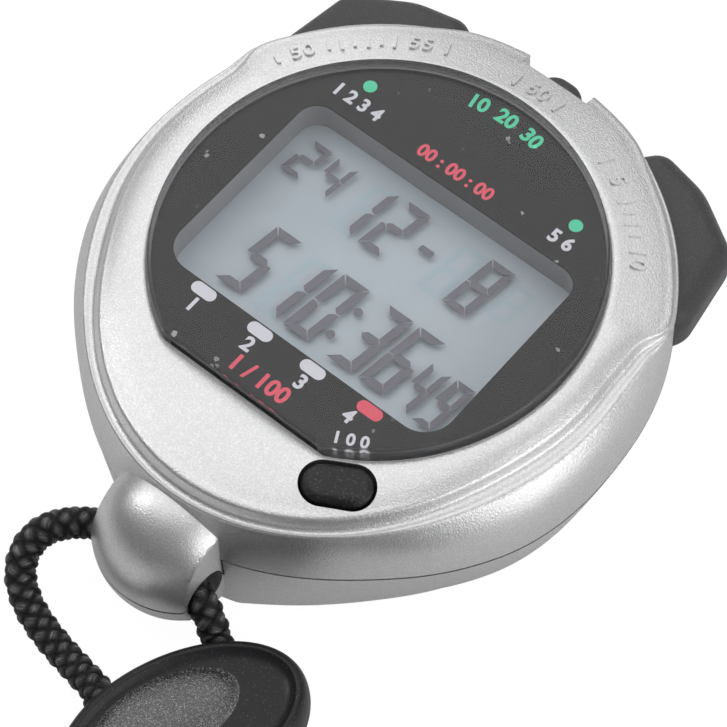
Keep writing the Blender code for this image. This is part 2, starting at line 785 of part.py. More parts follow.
def front_shell():
    body = part("front_shell", shell_outside(), "silver_plastic")
    lug = lug_solid()
    slice_off(lug, (0, 0, LUG_PART_Z + PART_LINE / 2), (0, 0, -1))
    join(body, "lug", lug)
    cut(body, "hollow", front_cavity())
    root_z = CEILING_Z + 0.6
    block = box(
        (-NOTCH_BLOCK_HALF_WIDTH, NOTCH_BLOCK_HALF_WIDTH),
        (NOTCH_WALL_Y, NOTCH_BLOCK_END_Y),
        (PART_Z + PART_LINE / 2, root_z),
    )
    join(body, "notch_wall", block)
    bosses = [rod(at, (BOSS_END_Z, root_z), BOSS_RADIUS) for at in CASE_BOSSES]
    posts = [rod(at, (BOARD_Z[1] + SEAT, root_z), POST_RADIUS) for at in BOARD_POSTS]
    join(body, "bosses", together(bosses + posts))
    pocket_floor = LENS_TOP_Z - LENS_THICK - MASK_THICK - 2 * MASK_GAP
    pocket = lens_outline(LENS_RADIUS + LENS_EASE, LENS_CHORD_Y - LENS_EASE)
    cut(body, "lens_pocket", plate(pocket, (pocket_floor, FAR)))
    cut(body, "window", plate(window_outline(WINDOW_MARGIN), (CEILING_Z - 2, pocket_floor + 1)))
    cut(body, "mode_hole", plate(stadium(*MODE_HOLE, MODE_AT, MODE_TURN), (CEILING_Z - 2, FAR)))
    room = [value + 2 * (MODE_FLANGE_OVER + SEAT) for value in MODE_HOLE]
    room_z = (DOME_TOP_Z - 2, CEILING_Z)
    cut(body, "mode_room", plate(stadium(*room, MODE_AT, MODE_TURN), room_z))
    side_opening(body, "start_stop", False)
    side_opening(body, "lap_reset", True)
    notch = box((-NOTCH_HALF_WIDTH, NOTCH_HALF_WIDTH), (NOTCH_FLOOR_Y, FAR), (PART_Z - 2, FAR))
    cut(body, "notch", notch)
    reach = RECALL_HALF_WIDTH + RECALL_EASE
    slot = box((-reach, reach), (RECALL_FLANGE_Y[0] - 1, FAR), (PART_Z - 2, RECALL_Z[1] + SEAT))
    cut(body, "recall_slot", slot)
    cut(body, "tunnel", tunnel("front_tunnel"))
    hole = SCREW_RADIUS + SCREW_EASE
    case_end = CASE_SCREW_SEAT_Z + CASE_SCREW_LENGTH + PILOT_SPARE
    pilots = [rod(at, (BOSS_END_Z - 2, case_end), hole, 16) for at in CASE_BOSSES]
    board_end = BOARD_Z[0] + BOARD_SCREW_LENGTH + PILOT_SPARE
    pilots += [rod(at, (BOARD_Z[0], board_end), hole, 16) for at in BOARD_POSTS]
    cut(body, "pilot_holes", together(pilots))
    return body


def back_radius(away, share):
    """The back shell's outside: share 0 is the back face, 1 the parting line."""
    start, end = BACK_INSET_ANGLES
    drawn = min(max((away - start) / (end - start), 0), 1) ** 0.65
    return body_radius(away) - BACK_INSET * (1 - share) * max(drawn, BACK_LEAST_INSET)


def back_outside():
    levels = (
        (0.0, 0.0),
        (0.08, 0.14),
        (0.40, 0.28),
        (0.95, 0.39),
        (1.75, 0.48),
        (2.8, 0.54),
        (0.5 * PART_Z, 0.70),
        (PART_Z - PART_LINE / 2, 1.0),
    )
    rings = [
        ring(lambda away, share=share: back_radius(away, share), z, OUTER_ROUND)
        for z, share in levels
    ]
    return loft(rings)


def back_cavity():
    levels = ((FLOOR, 0.24), (FLOOR + 1.0, 0.50), (0.5 * PART_Z, 0.70), (PART_Z + 3, 1.25))
    rings = [
        ring(lambda away, share=share: back_radius(away, share) - WALL, z, INNER_ROUND)
        for z, share in levels
    ]
    return loft(rings)


def tongue():
    """A lip inside the parting line, which the front shell slides over."""
    outer = WALL + TONGUE_EASE
    inner = outer + TONGUE_WALL
    solid = [ring(lambda away: body_radius(away) - outer, z, INNER_ROUND) for z in TONGUE_Z]
    hollow_z = (TONGUE_Z[0] - 1, TONGUE_Z[1] + 1)
    hollow = [ring(lambda away: body_radius(away) - inner, z, INNER_ROUND) for z in hollow_z]
    made = helper("tongue_ring", loft(solid))
    cut(made, "tongue_hollow", loft(hollow))
    return made


def back_shell():
    body = part("back_shell", back_outside(), "silver_plastic")
    cut(body, "hollow", back_cavity())
    join(body, "tongue", tongue())
    gap_for_front = box((-FAR, FAR), (TONGUE_END_Y, FAR), (PART_Z - PART_LINE / 2, FAR))
    cut(body, "tongue_end", gap_for_front)
    step = box(
        (LUG_AT[0] - LUG_HALF_WIDTH - LUG_EASE, LUG_AT[0] + LUG_HALF_WIDTH + LUG_EASE),
        (-FAR, LUG_INNER_Y + LUG_EASE),
        (LUG_PART_Z - PART_LINE / 2, FAR),
    )
    join(body, "lug", lug_solid())
    cut(body, "lug_step", step)
    shelf = box(
        (-NOTCH_BLOCK_HALF_WIDTH, NOTCH_BLOCK_HALF_WIDTH),
        (NOTCH_WALL_Y, NOTCH_BLOCK_END_Y),
        (PART_Z - 2.07, PART_Z - PART_LINE),
    )
    join(body, "notch_shelf", shelf)
    columns = [rod(at, (FLOOR - 0.6, BOSS_END_Z - SEAT), COLUMN_RADIUS) for at in CASE_BOSSES]
    join(body, "columns", together(columns))
    seat_in = SOUNDER_RADIUS + SEAT
    seat_out = seat_in + SOUNDER_SEAT_WALL
    low, high = SOUNDER_SEAT_Z
    profile = ((seat_out, high), (seat_out, low), (seat_in, low), (seat_in, high), (seat_out, high))
    join(body, "sounder_seat", turned_helper("sounder_seat_ring", profile, SOUNDER_AT, 48))
    head = CASE_SCREW_HEAD[0] + SCREW_CLEAR
    bores = [rod(at, (-2, CASE_SCREW_SEAT_Z), head) for at in CASE_BOSSES]
    cut(body, "screw_wells", together(bores))
    holes = [rod(at, (1, BOSS_END_Z + 2), SCREW_RADIUS + SCREW_EASE, 16) for at in CASE_BOSSES]
    cut(body, "screw_holes", together(holes))
    sound = [rod(SOUNDER_AT, (-2, FLOOR + 2), SOUND_HOLE_RADIUS, 16)]
    for index in range(SOUND_HOLES):
        angle = 2 * math.pi * index / SOUND_HOLES
        across = SOUNDER_AT[0] + SOUND_HOLE_SPREAD * math.cos(angle)
        along = SOUNDER_AT[1] + SOUND_HOLE_SPREAD * math.sin(angle)
        sound.append(rod((across, along), (-2, FLOOR + 2), SOUND_HOLE_RADIUS, 16))
    cut(body, "sound_holes", together(sound))
    cut(body, "tunnel", tunnel("back_tunnel"))
    return body


def lens():
    outline = lens_outline(LENS_RADIUS, LENS_CHORD_Y)
    shape = plate(outline, (LENS_TOP_Z - LENS_THICK, LENS_TOP_Z))
    soften(shape, LENS_EDGE, 3, flat_at(LENS_TOP_Z))
    return part("lens", shape, "clear_acrylic")


def dial_mask():
    """The printed sheet under the lens, open over the display."""
    top = LENS_TOP_Z - LENS_THICK - MASK_GAP
    outline = lens_outline(LENS_RADIUS - MASK_GAP, LENS_CHORD_Y + MASK_GAP)
    sheet = plate(outline, (top - MASK_THICK, top), (window_outline(0, 8),))
    return part("dial_mask", sheet, "dark_print")


def display():
    """The glass, the frame that holds it and the two strips that feed it."""
    glass = box((-GLASS_HALF_WIDTH, GLASS_HALF_WIDTH), GLASS_Y, GLASS_Z)
    part("lcd_glass", glass, "display_glass")
    inner_x = GLASS_HALF_WIDTH + SEAT
    inner_y = (GLASS_Y[0] - SEAT, GLASS_Y[1] + SEAT)
    outer_x = GLASS_HALF_WIDTH + FRAME_WALL
    outer_y = (GLASS_Y[0] - FRAME_WALL, GLASS_Y[1] + FRAME_WALL)
    low = BOARD_Z[1] + SEAT
    high = GLASS_Z[1] + SEAT + FRAME_LIP
    outline = rounded_box((-outer_x, outer_x), outer_y, (FRAME_ROUND,) * 4)
    frame = part("lcd_frame", plate(outline, (low, high)), "white_plastic")
    well = box((-inner_x, inner_x), inner_y, (low - 2, GLASS_Z[1] + SEAT))
    cut(frame, "frame_well", well)
    view_x = inner_x - FRAME_VIEW[0]
    view_y = (inner_y[0] + FRAME_VIEW[1], inner_y[1] - FRAME_VIEW[1])
    view = rounded_box((-view_x, view_x), view_y, (1.0,) * 4, 3)
    cut(frame, "frame_view", plate(view, (low, high + 2)))
    strip_z = (BOARD_Z[1] + SEAT, GLASS_Z[0] - SEAT)
    lengths = (-STRIP_HALF_LENGTH, STRIP_HALF_LENGTH)
    upper_y = (GLASS_Y[1] - STRIP_WIDTH - SEAT, GLASS_Y[1] - SEAT)
    lower_y = (GLASS_Y[0] + SEAT, GLASS_Y[0] + STRIP_WIDTH + SEAT)
    part("upper_display_strip", box(lengths, upper_y, strip_z), "conductive_rubber")
    part("lower_display_strip", box(lengths, lower_y, strip_z), "conductive_rubber")


def circuit_board():
    half = math.degrees(math.acos(BOARD_TOP_Y / BOARD_RADIUS))
    outline = arc_points((0, 0), BOARD_RADIUS, 90 + half, 450 - half, 48)
    board = part("circuit_board", plate(outline, BOARD_Z), "board_green")
    reach = (BOARD_Z[0] - 2, BOARD_Z[1] + 2)
    port = BOSS_RADIUS + SCREW_CLEAR
    ports = [rod(at, reach, port) for at in CASE_BOSSES]
    ports += [rod(at, reach, SCREW_RADIUS + SCREW_CLEAR, 16) for at in BOARD_POSTS]
    cut(board, "board_holes", together(ports))
    across, along = SIDE_BOSS
    edge_y = (along - port, along + port)
    edge_ports = [box((across, FAR), edge_y, reach), box((-FAR, -across), edge_y, reach)]
    cut(board, "board_edges", together(edge_ports))
    return board


def board_parts():
    top = BOARD_Z[0] - MASK_GAP
    profile = (
        (0, top),
        (CHIP_RADIUS, top),
        (CHIP_RADIUS * 0.93, top - 0.45),
        (CHIP_RADIUS * 0.72, top - 0.95),
        (CHIP_RADIUS * 0.40, top - 1.25),
        (0, top - 1.35),
    )
    turned("chip_cover", profile, CHIP_AT, "black_resin", 32)
    radius, length = CRYSTAL_SIZE
    crystal = rod((0, 0), (-length / 2, length / 2), radius, 20)
    bmesh.ops.rotate(crystal, matrix=Matrix.Rotation(math.pi / 2, 3, "X"), verts=crystal.verts)
    bmesh.ops.translate(crystal, vec=(*CRYSTAL_AT, top - radius), verts=crystal.verts)
    shade(part("crystal", crystal, "steel"))


def battery_parts():
    low, high = BATTERY_Z
    profile = (
        (0, high),
        (BATTERY_RADIUS - 1.3, high),
        (BATTERY_RADIUS - 1.2, high - 0.3),
        (BATTERY_RADIUS - 0.3, high - 0.35),
        (BATTERY_RADIUS, high - 0.7),
        (BATTERY_RADIUS, low + 0.3),
        (BATTERY_RADIUS - 0.3, low),
        (0, low),
    )
    turned("battery", profile, BATTERY_AT, "steel", 32)
    leg = BATTERY_RADIUS + 1.2
    foot_z = BOARD_Z[0] - 0.35
    path = (
        (-leg - 1.8, foot_z),
        (-leg, foot_z),
        (-leg, low - 0.7),
        (-leg + 2.0, low - 1.0),
        (0, low - 0.65),
        (leg - 2.0, low - 1.0),
        (leg, low - 0.7),
        (leg, foot_z),
        (leg + 1.8, foot_z),
    )
    strap = ribbon(path, CLIP_THICK, (-CLIP_HALF_WIDTH, CLIP_HALF_WIDTH))
    bmesh.ops.rotate(strap, matrix=Matrix.Rotation(math.pi / 2, 3, "X"), verts=strap.verts)
    bmesh.ops.translate(strap, vec=(*BATTERY_AT, 0), verts=strap.verts)
    part("battery_clip", strap, "steel")
    half_x, half_y = CONTACT_HALF
    pad_y = (BATTERY_AT[1] - half_y, BATTERY_AT[1] + half_y)
    pad = box((-half_x, half_x), pad_y, (high + SEAT, BOARD_Z[0] - SEAT))
    part("battery_contact", pad, "brass")


def sounder_parts():
    low = FLOOR + SEAT
    disc = rod(SOUNDER_AT, (low, low + SOUNDER_THICK), SOUNDER_RADIUS, 48)
    shade(part("sounder", disc, "brass"))
    spring_z = (low + SOUNDER_THICK + SEAT, BOARD_Z[0] - SEAT)
    for name, offset in zip(("inner_sounder_spring", "outer_sounder_spring"), SPRING_OFFSETS):
        spring(name, (SOUNDER_AT[0] + offset, SOUNDER_AT[1]), spring_z)


def spring(name, at, z):
    """A small upright coil spring."""
    count = 8 * SPRING_TURNS
    height = z[1] - z[0] - SPRING_WIRE
    points = []
    for index in range(count + 1):
        angle = 2 * math.pi * index * SPRING_TURNS / count
        rise = z[0] + SPRING_WIRE / 2 + height * index / count
        across = at[0] + SPRING_RADIUS * math.cos(angle)
        points.append(Vector((across, at[1] + SPRING_RADIUS * math.sin(angle), rise)))
    tube(name, points, SPRING_WIRE, 0, "steel")


def tube(name, points, diameter, resolution, look):
    """A round bar along the points, its ends filled."""
    line = bpy.data.curves.new(name, "CURVE")
    line.dimensions = "3D"
    line.bevel_depth = diameter / 2 * MM
    line.bevel_resolution = resolution
    line.use_fill_caps = True
    run = line.splines.new("POLY")
    run.points.add(len(points) - 1)
    for knot, point in zip(run.points, points):
        knot.co = (*((Vector(point) + WATCH_MIDDLE) * MM), 1)
    line.materials.append(finish(look))
    made = bpy.data.objects.new(name, line)
    parts.objects.link(made)
    return made


def side_button(name, mirror):
    """A side button: a rounded cap outside the case, its flange and its contact nub inside."""
    back = SIDE_FLANGE_S[1] - 0.5
    low, high = SIDE_CORNERS[0][1], SIDE_CORNERS[-1][1]
    plan = rounded(((back, low), *SIDE_CORNERS, (back, high)), (0, *SIDE_CORNER_RADII, 0), 4)
    cap = plate(plan, SIDE_Z)

    def on_rim(edge):
        return level(edge) and any(vert.co.x > back + 0.1 for vert in edge.verts)

    soften(cap, SIDE_ROUND, 4, on_rim)
    middle = side_point((SIDE_FLANGE_S[0] + SIDE_CORNERS[2][0]) / 2, 0, mirror)
    origin = (*middle, (SIDE_Z[0] + SIDE_Z[1]) / 2)
    body = part(name, to_side(cap, mirror), "black_rubber", origin)
    root_z = (SIDE_Z[0] + 0.05, SIDE_Z[1] - 0.05)
    root = box((SIDE_FLANGE_S[0] + 0.5, SIDE_CORNERS[-1][0]), (low + 0.05, high - 0.05), root_z)
    join(body, f"{name}_root", to_side(root, mirror))
    flange = box(SIDE_FLANGE_S, SIDE_FLANGE_T, SIDE_FLANGE_Z)
    join(body, f"{name}_flange", to_side(flange, mirror))
    nub_s = (SIDE_FLANGE_S[0] - NUB_LENGTH, SIDE_FLANGE_S[0] + 0.5)
    nub = box(nub_s, (NUB_T - NUB_HALF_WIDTH, NUB_T + NUB_HALF_WIDTH), NUB_Z)
    join(body, f"{name}_nub", to_side(nub, mirror))
    return body


def side_contact(name, mirror):
    """A bent leaf standing on the board, which the button's nub presses and which pushes it back."""
    face = SIDE_FLANGE_S[0] - NUB_LENGTH - SEAT - LEAF_THICK / 2
    path = [side_point(face + inward, NUB_T + along, mirror) for inward, along in SIDE_LEAF]
    return part(name, ribbon(path, LEAF_THICK, LEAF_Z), "steel")


def recall_button():
    half = RECALL_HALF_WIDTH
    back = RECALL_FLANGE_Y[1] - 0.6
    corners = ((-half, back), (half, back), (half, RECALL_END_Y), (-half, RECALL_END_Y))
    cap = plate(rounded(corners, (0, 0, RECALL_CORNER, RECALL_CORNER), 6), RECALL_Z)

    def on_rim(edge):
        return level(edge) and any(vert.co.y > back + 0.1 for vert in edge.verts)

    soften(cap, RECALL_ROUND, 4, on_rim)
    origin = (0, NOTCH_FLOOR_Y, (RECALL_Z[0] + RECALL_Z[1]) / 2)
    body = part("recall_button", cap, "black_rubber", origin)
    wide = RECALL_FLANGE_HALF_WIDTH
    flange = box((-wide, wide), RECALL_FLANGE_Y, (RECALL_Z[0] + 0.1, RECALL_Z[1] - 0.2))
    join(body, "recall_flange", flange)
    nub_y = (RECALL_FLANGE_Y[0] - RECALL_NUB_LENGTH, RECALL_FLANGE_Y[0] + 0.5)
    join(body, "recall_nub", box((-1.0, 1.0), nub_y, NUB_Z))
    face = nub_y[0] - SEAT - LEAF_THICK / 2
    path = [(across, face + inward) for across, inward in RECALL_LEAF]
    part("recall_contact", ribbon(path, LEAF_THICK, LEAF_Z), "steel")


def mode_button():
    size = [value - 2 * MODE_EASE for value in MODE_HOLE]
    cap = plate(stadium(*size, MODE_AT, MODE_TURN), (CEILING_Z - 0.8, MODE_TOP_Z))
    soften(cap, MODE_ROUND, 4, flat_at(MODE_TOP_Z))
    body = part("mode_button", cap, "black_rubber", (*MODE_AT, MODE_TOP_Z))
    flange_size = [value + 2 * MODE_FLANGE_OVER for value in MODE_HOLE]
    flange_z = (CEILING_Z - SEAT - MODE_FLANGE_THICK, CEILING_Z - SEAT)
    flange = plate(stadium(*flange_size, MODE_AT, MODE_TURN), flange_z)
    join(body, "mode_flange", flange)
    stem = rod(MODE_STEM_AT, (DOME_TOP_Z + SEAT, flange_z[0] + 0.5), MODE_STEM_RADIUS, 20)
    join(body, "mode_stem", stem)
    low = BOARD_Z[1] + SEAT
    tall = DOME_TOP_Z - low
    profile = (
        (0, DOME_TOP_Z),
        (1.1, DOME_TOP_Z),
        (1.2, low + 0.82 * tall),
        (1.9, low + 0.27 * tall),
        (2.4, low + 0.18 * tall),
        (2.4, low),
        (1.5, low),
        (0.8, low + 0.57 * tall),
        (0, low + 0.63 * tall),
    )
    turned("mode_dome", profile, MODE_STEM_AT, "conductive_rubber", 24)


def screw(name, at, seat_z, head, length):
    """A round-headed screw from below: its head under the seat, its shank upwards."""
    radius, height = head
    top = seat_z + length
    low = seat_z - height
    profile = (
        (0, top),
        (SCREW_RADIUS * 0.6, top - 0.1),
        (SCREW_RADIUS, top - 1.0),
        (SCREW_RADIUS, seat_z),
        (radius, seat_z),
        (radius, low + 0.4),
        (radius - 0.4, low),
        (0, low),
    )
    body = turned(name, profile, at, "steel", 14)
    for label, across in (("slot", (radius * 0.6, 0.22)), ("cross", (0.22, radius * 0.6))):
        groove = box(
            (at[0] - across[0], at[0] + across[0]),
            (at[1] - across[1], at[1] + across[1]),
            (low - 1, low + 0.6),
        )
        cut(body, f"{name}_{label}", groove)


def screws():
    for index, at in enumerate(CASE_BOSSES):
        seat = CASE_SCREW_SEAT_Z - SEAT
        screw(f"case_screw_{index + 1}", at, seat, CASE_SCREW_HEAD, CASE_SCREW_LENGTH)
    for index, at in enumerate(BOARD_POSTS):
        seat = BOARD_Z[0] - SEAT
        screw(f"board_screw_{index + 1}", at, seat, BOARD_SCREW_HEAD, BOARD_SCREW_LENGTH)


def clasp_point(u, v, z):
    """A point in the clasp's frame: u along its length, v across it and away from the watch."""
    return Vector((*CLASP_AT, 0)) + CLASP_U * u + CLASP_V * v + Vector((0, 0, z))


def oval(inset, z, count=32):
    """An oval inside the clasp's outline."""
    found = []
    for index in range(count):
        angle = 2 * math.pi * index / count
        along = (CLASP_HALF[0] - inset) * math.cos(angle)
        across = (CLASP_HALF[1] - inset) * math.sin(angle)
        found.append(clasp_point(along, across, z))
    return found


def clasp_bore(side):
    """A bore across the clasp for a cord's end, wider at both its mouths."""
    start, end = CLASP_MOUTH_V
    profile = (
        (0, end),
        (CLASP_MOUTH_RADIUS, end),
        (CLASP_BORE_RADIUS, start),
        (CLASP_BORE_RADIUS, -start),
        (CLASP_MOUTH_RADIUS, -end),
        (0, -end),
    )
    label = "left" if side < 0 else "right"
    turn = Matrix.Rotation(math.pi / 2, 3, CLASP_U)
    made = turned_helper(f"{label}_clasp_bore", profile, (0, 0), 24, turn)
    made.location = (clasp_point(side * CLASP_BORE_U, 0, CLASP_BORE_Z) + WATCH_MIDDLE) * MM
    return made


def clasp():
    """Two oval halves that close on the cord, the upper one dished with a raised pad."""
    parting = CLASP_BORE_Z
    top = CLASP_TOP_Z
    upper_levels = (
        (0.0, parting + PART_LINE / 2),
        (0.05, parting + 1.2),
        (0.35, parting + 2.5),
        (0.75, top - 0.3),
        (1.0, top),
        (1.35, top),
        (1.75, top - 0.45),
        (3.4, top - 0.95),
        (4.6, top - 0.95),
        (5.3, top - 0.6),
        (6.6, top - 0.3),
        (7.6, top - 0.2),
    )
    lower_levels = (
        (0.0, parting - PART_LINE / 2),
        (0.1, parting - 1.3),
        (0.5, 1.1),
        (1.1, 0.35),
        (2.0, 0.05),
    )
    halves = []
    for name, levels in (("clasp_top", upper_levels), ("clasp_bottom", lower_levels)):
        solid = loft([oval(inset, z) for inset, z in levels])
        halves.append(part(name, solid, "clasp_plastic"))
    for side in (-1, 1):
        bore = clasp_bore(side)
        for body in halves:
            cut(body, f"{bore.name}_in_{body.name}", bore)


def smooth_route(knots, spacing):
    """Points at an even spacing on one smooth curve through the knots."""
    knots = [Vector(knot) for knot in knots]
    dense = []
    ends = [knots[0] * 2 - knots[1]] + knots + [knots[-1] * 2 - knots[-2]]
    for before, start, end, after in zip(ends, ends[1:], ends[2:], ends[3:]):
        for step in range(24):
            share = step / 24
            pull = (end - before) * 0.5
            lead = (after - start) * 0.5
            dense.append(
                start * (2 * share**3 - 3 * share**2 + 1)
                + pull * (share**3 - 2 * share**2 + share)
                + end * (3 * share**2 - 2 * share**3)
                + lead * (share**3 - share**2)
            )
    dense.append(knots[-1])
    lengths = [0.0]
    for first, second in zip(dense, dense[1:]):
        lengths.append(lengths[-1] + (second - first).length)
    count = max(round(lengths[-1] / spacing), 1)
    found = []
    index = 0
    for step in range(count + 1):
        target = lengths[-1] * step / count
        while index < len(dense) - 2 and lengths[index + 1] < target:
            index += 1
        span = lengths[index + 1] - lengths[index]
        share = (target - lengths[index]) / span if span else 0
        found.append(dense[index].lerp(dense[index + 1], share))
    return found


def lug_route():
    """The seen stretch of cord: out of the clasp, round to the lug's left end, through it and back."""
    left = -CLASP_BORE_U
    right = CLASP_BORE_U
    in_tunnel = (-2.6, 0.0, 2.6)
    return [
        clasp_point(left, -0.2, CLASP_BORE_Z),
        clasp_point(left, -3.6, CLASP_BORE_Z),
        clasp_point(left + 0.5, -6.6, CLASP_BORE_Z - 0.1),
        *(Vector((x, TUNNEL_Y + y, CORD_LOW + z)) for x, y, z in LUG_CORD_BEND),
        *(Vector((x, TUNNEL_Y, TUNNEL_Z)) for x in in_tunnel),
        Vector((5.0, TUNNEL_Y - 0.1, TUNNEL_Z - 0.15)),
        Vector((7.1, TUNNEL_Y - 0.7, TUNNEL_Z - 0.7)),
        Vector((8.8, TUNNEL_Y - 1.5, TUNNEL_Z - 1.8)),
        clasp_point(right + 0.9, -8.4, CLASP_BORE_Z + 0.3),
        clasp_point(right + 0.3, -5.2, CLASP_BORE_Z),
        clasp_point(right, -3.0, CLASP_BORE_Z),
        clasp_point(right, -0.2, CLASP_BORE_Z),
    ]


def coil_point(travel, middle_v):
    """A point of the wound neck cord, after this many turns."""
    layer_start = COIL_TURNS
    layer_end = COIL_TURNS + 0.5
    inner = COIL_OUTER - COIL_PITCH * COIL_TURNS
    if travel <= layer_start:
        radius = COIL_OUTER - COIL_PITCH * travel
    elif travel >= layer_end:
        radius = inner + COIL_PITCH * (travel - layer_end)
    else:
        share = (travel - layer_start) / (layer_end - layer_start)
        radius = inner - COIL_DIP * math.sin(math.pi * share)
    climb = smooth_step(travel, layer_start, layer_end)
    angle = math.pi - 2 * math.pi * travel
    from_tie = abs((math.degrees(angle) - 270 + 180) % 360 - 180)
    lift = TIE_THICK + SEAT if from_tie < TIE_LIFT_ANGLE else 0
    lift *= 0.5 + 0.5 * math.cos(math.pi * min(from_tie / TIE_LIFT_ANGLE, 1))
    z = CORD_LOW + COIL_LAYER * climb + lift
    return clasp_point(radius * math.cos(angle), middle_v + radius * math.sin(angle), z)


def neck_route():
    """The neck loop's three stretches: out of one bore, round the coil, and back to the other."""
    side = CLASP_HALF[1]
    lead_out = [
        *(clasp_point(-CLASP_BORE_U, v, CLASP_BORE_Z) for v in (0.2, 4.0, 8.0)),
        *(clasp_point(u, side + share * COIL_OUT, CORD_LOW + z) for u, share, z in NECK_OUT),
    ]
    total = 2 * COIL_TURNS + 0.5
    steps = int(total * LOOP_POINTS)
    coil = [coil_point(total * index / steps, side + COIL_OUT) for index in range(steps + 1)]
    lead_back = [
        *(clasp_point(u, side + share * COIL_OUT, CORD_LOW + z) for u, share, z in NECK_BACK),
        *(clasp_point(CLASP_BORE_U, v, CLASP_BORE_Z) for v in (8.0, 4.0, 0.2)),
    ]
    return lead_out, coil, lead_back


def route_length(points):
    return sum((second - first).length for first, second in zip(points, points[1:]))


def nearer(points, middle, reach):
    """The points closer to a point than the reach."""
    return [point for point in points if (point - middle).length < reach]


def cords():
    seen = smooth_route(lug_route(), CORD * 0.9)
    tube("lug_cord", seen, CORD, 2, "black_braid")
    lead_out, coil, lead_back = neck_route()
    out = smooth_route(lead_out + coil[:2], CORD)[:-1]
    out = [point for point in out if (point - coil[0]).length > CORD * 0.4]
    out = nearer(out, lead_out[0], (coil[0] - lead_out[0]).length)
    back = smooth_route(coil[-2:] + lead_back, CORD)[1:]
    back = nearer(back, lead_back[-1], (coil[-1] - lead_back[-1]).length)
    neck = out + coil + back
    tube("neck_cord", neck, CORD, 1, "black_braid")
    print(f"lug cord {route_length(seen):.1f} mm, neck cord {route_length(neck):.1f} mm")
    print(f"least gap of the neck cord to itself {least_gap(neck):.2f} mm")
    print(f"least gap of the lug cord to itself {least_gap(seen):.2f} mm")


def least_gap(points):
    """The least clear distance between stretches of a cord that aren't neighbours along it."""
    reach = CORD * 2.2
    lengths = [0.0]
    for first, second in zip(points, points[1:]):
        lengths.append(lengths[-1] + (second - first).length)
    least = math.inf
    for index, point in enumerate(points):
        for other in range(index + 1, len(points)):
            if lengths[other] - lengths[index] > reach:
                least = min(least, (points[other] - point).length - CORD)
    return least


def coil_tie():
    """A strip round the wound cord, on the side towards the clasp."""
    middle_v = CLASP_HALF[1] + COIL_OUT
    nearest = middle_v - COIL_OUTER + COIL_PITCH * 0.75 - CORD / 2 - SEAT
    farthest = middle_v - COIL_OUTER + COIL_PITCH * 2.75 + CORD / 2 + SEAT
    high = TIE_Z + 2 * TIE_THICK + 2 * SEAT + COIL_LAYER + CORD
    outer_v = (nearest - TIE_THICK, farthest + TIE_THICK)
    outer = rounded_box(outer_v, (TIE_Z, high), (TIE_ROUND + TIE_THICK,) * 4, 4)
    inner_z = (TIE_Z + TIE_THICK, high - TIE_THICK)
    inner = rounded_box((nearest, farthest), inner_z, (TIE_ROUND,) * 4, 4)
    made = plate(outer, (-TIE_WIDTH / 2, TIE_WIDTH / 2), (inner,))
    for vert in made.verts:
        v, z, u = vert.co
        vert.co = clasp_point(u, v, z)
    return part("coil_tie", made, "tie_strip")


def build():
    global parts, cutters
    clear_scene()
    parts = make_collection("stopwatch")
    cutters = make_collection("cutters")
    front_shell()
    back_shell()
    shade(lens())
    dial_mask()
    display()
    circuit_board()
    board_parts()
    battery_parts()
    sounder_parts()
    side_button("start_stop_button", False)
    side_button("lap_reset_button", True)
    side_contact("start_stop_contact", False)
    side_contact("lap_reset_contact", True)
    recall_button()
    mode_button()
    screws()
    clasp()
    cords()
    coil_tie()


build()
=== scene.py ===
# %% [markdown]
# # A hand-held stopwatch
#
# This lesson dresses a digital stopwatch with a short black cord and an oval clasp. Its solid parts are
# loaded first, as a frame that stays where it is. Each step then makes one visible piece or one finish.

# %% Load the frame
import math

import bmesh
import bpy
from mathutils import Matrix, Vector


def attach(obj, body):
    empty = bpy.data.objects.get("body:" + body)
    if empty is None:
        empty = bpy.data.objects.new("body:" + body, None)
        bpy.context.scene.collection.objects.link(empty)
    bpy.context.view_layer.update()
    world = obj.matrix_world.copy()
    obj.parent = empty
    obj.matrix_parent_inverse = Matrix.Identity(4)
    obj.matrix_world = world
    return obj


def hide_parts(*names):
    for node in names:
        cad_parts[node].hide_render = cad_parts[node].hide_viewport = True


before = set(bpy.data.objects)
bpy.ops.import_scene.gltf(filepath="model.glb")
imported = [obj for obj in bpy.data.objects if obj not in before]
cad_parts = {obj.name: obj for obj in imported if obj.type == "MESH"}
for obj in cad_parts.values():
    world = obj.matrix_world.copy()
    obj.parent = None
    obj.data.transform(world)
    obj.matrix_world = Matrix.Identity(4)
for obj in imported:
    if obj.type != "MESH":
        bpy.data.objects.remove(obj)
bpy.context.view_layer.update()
MM = 0.001
print("solid parts:", len(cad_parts))

# %% [markdown]
# ## Where things are
#
# Every piece is drawn in millimetres round the centre of the round window, with 12 o'clock along +Y. The
# watch as a whole lies a little off that centre, so one helper moves a drawn point to its place in metres.

# %% Drawing place
WINDOW_CENTRE = Vector((0, 4.5, 0))


def placed(point):
    return (Vector(point) + WINDOW_CENTRE) * MM


def in_scene(name, data):
    """A new object at the origin, linked into the scene."""
    made = bpy.data.objects.new(name, data)
    bpy.context.scene.collection.objects.link(made)
    return made


print("window centre:", placed((0, 0, 0)))

# %% [markdown]
# ## Camera
#
# The photograph looks down on the watch from the side of its lower right edge, through a long lens. The
# sensor is square, as the picture is, and the focal length was solved from the round window and the case.

# %% Camera
lens_view = bpy.data.cameras.new("camera")
lens_view.sensor_width = 36
lens_view.sensor_height = 36
lens_view.lens = 159.36
lens_view.clip_start = 0.01
lens_view.clip_end = 10
camera = in_scene("camera", lens_view)
right = Vector((0.76803058, 0.64018322, -0.01716028))
up = Vector((-0.54859302, 0.67150187, 0.49812743))
back = Vector((0.33041598, -0.37316309, 0.86693402))
camera_turn = Matrix((right, up, back)).transposed().to_4x4()
camera.matrix_world = Matrix.Translation((0.117685, -0.131393, 0.310300)) @ camera_turn
bpy.context.scene.camera = camera
print("camera at", tuple(round(value, 4) for value in camera.location))

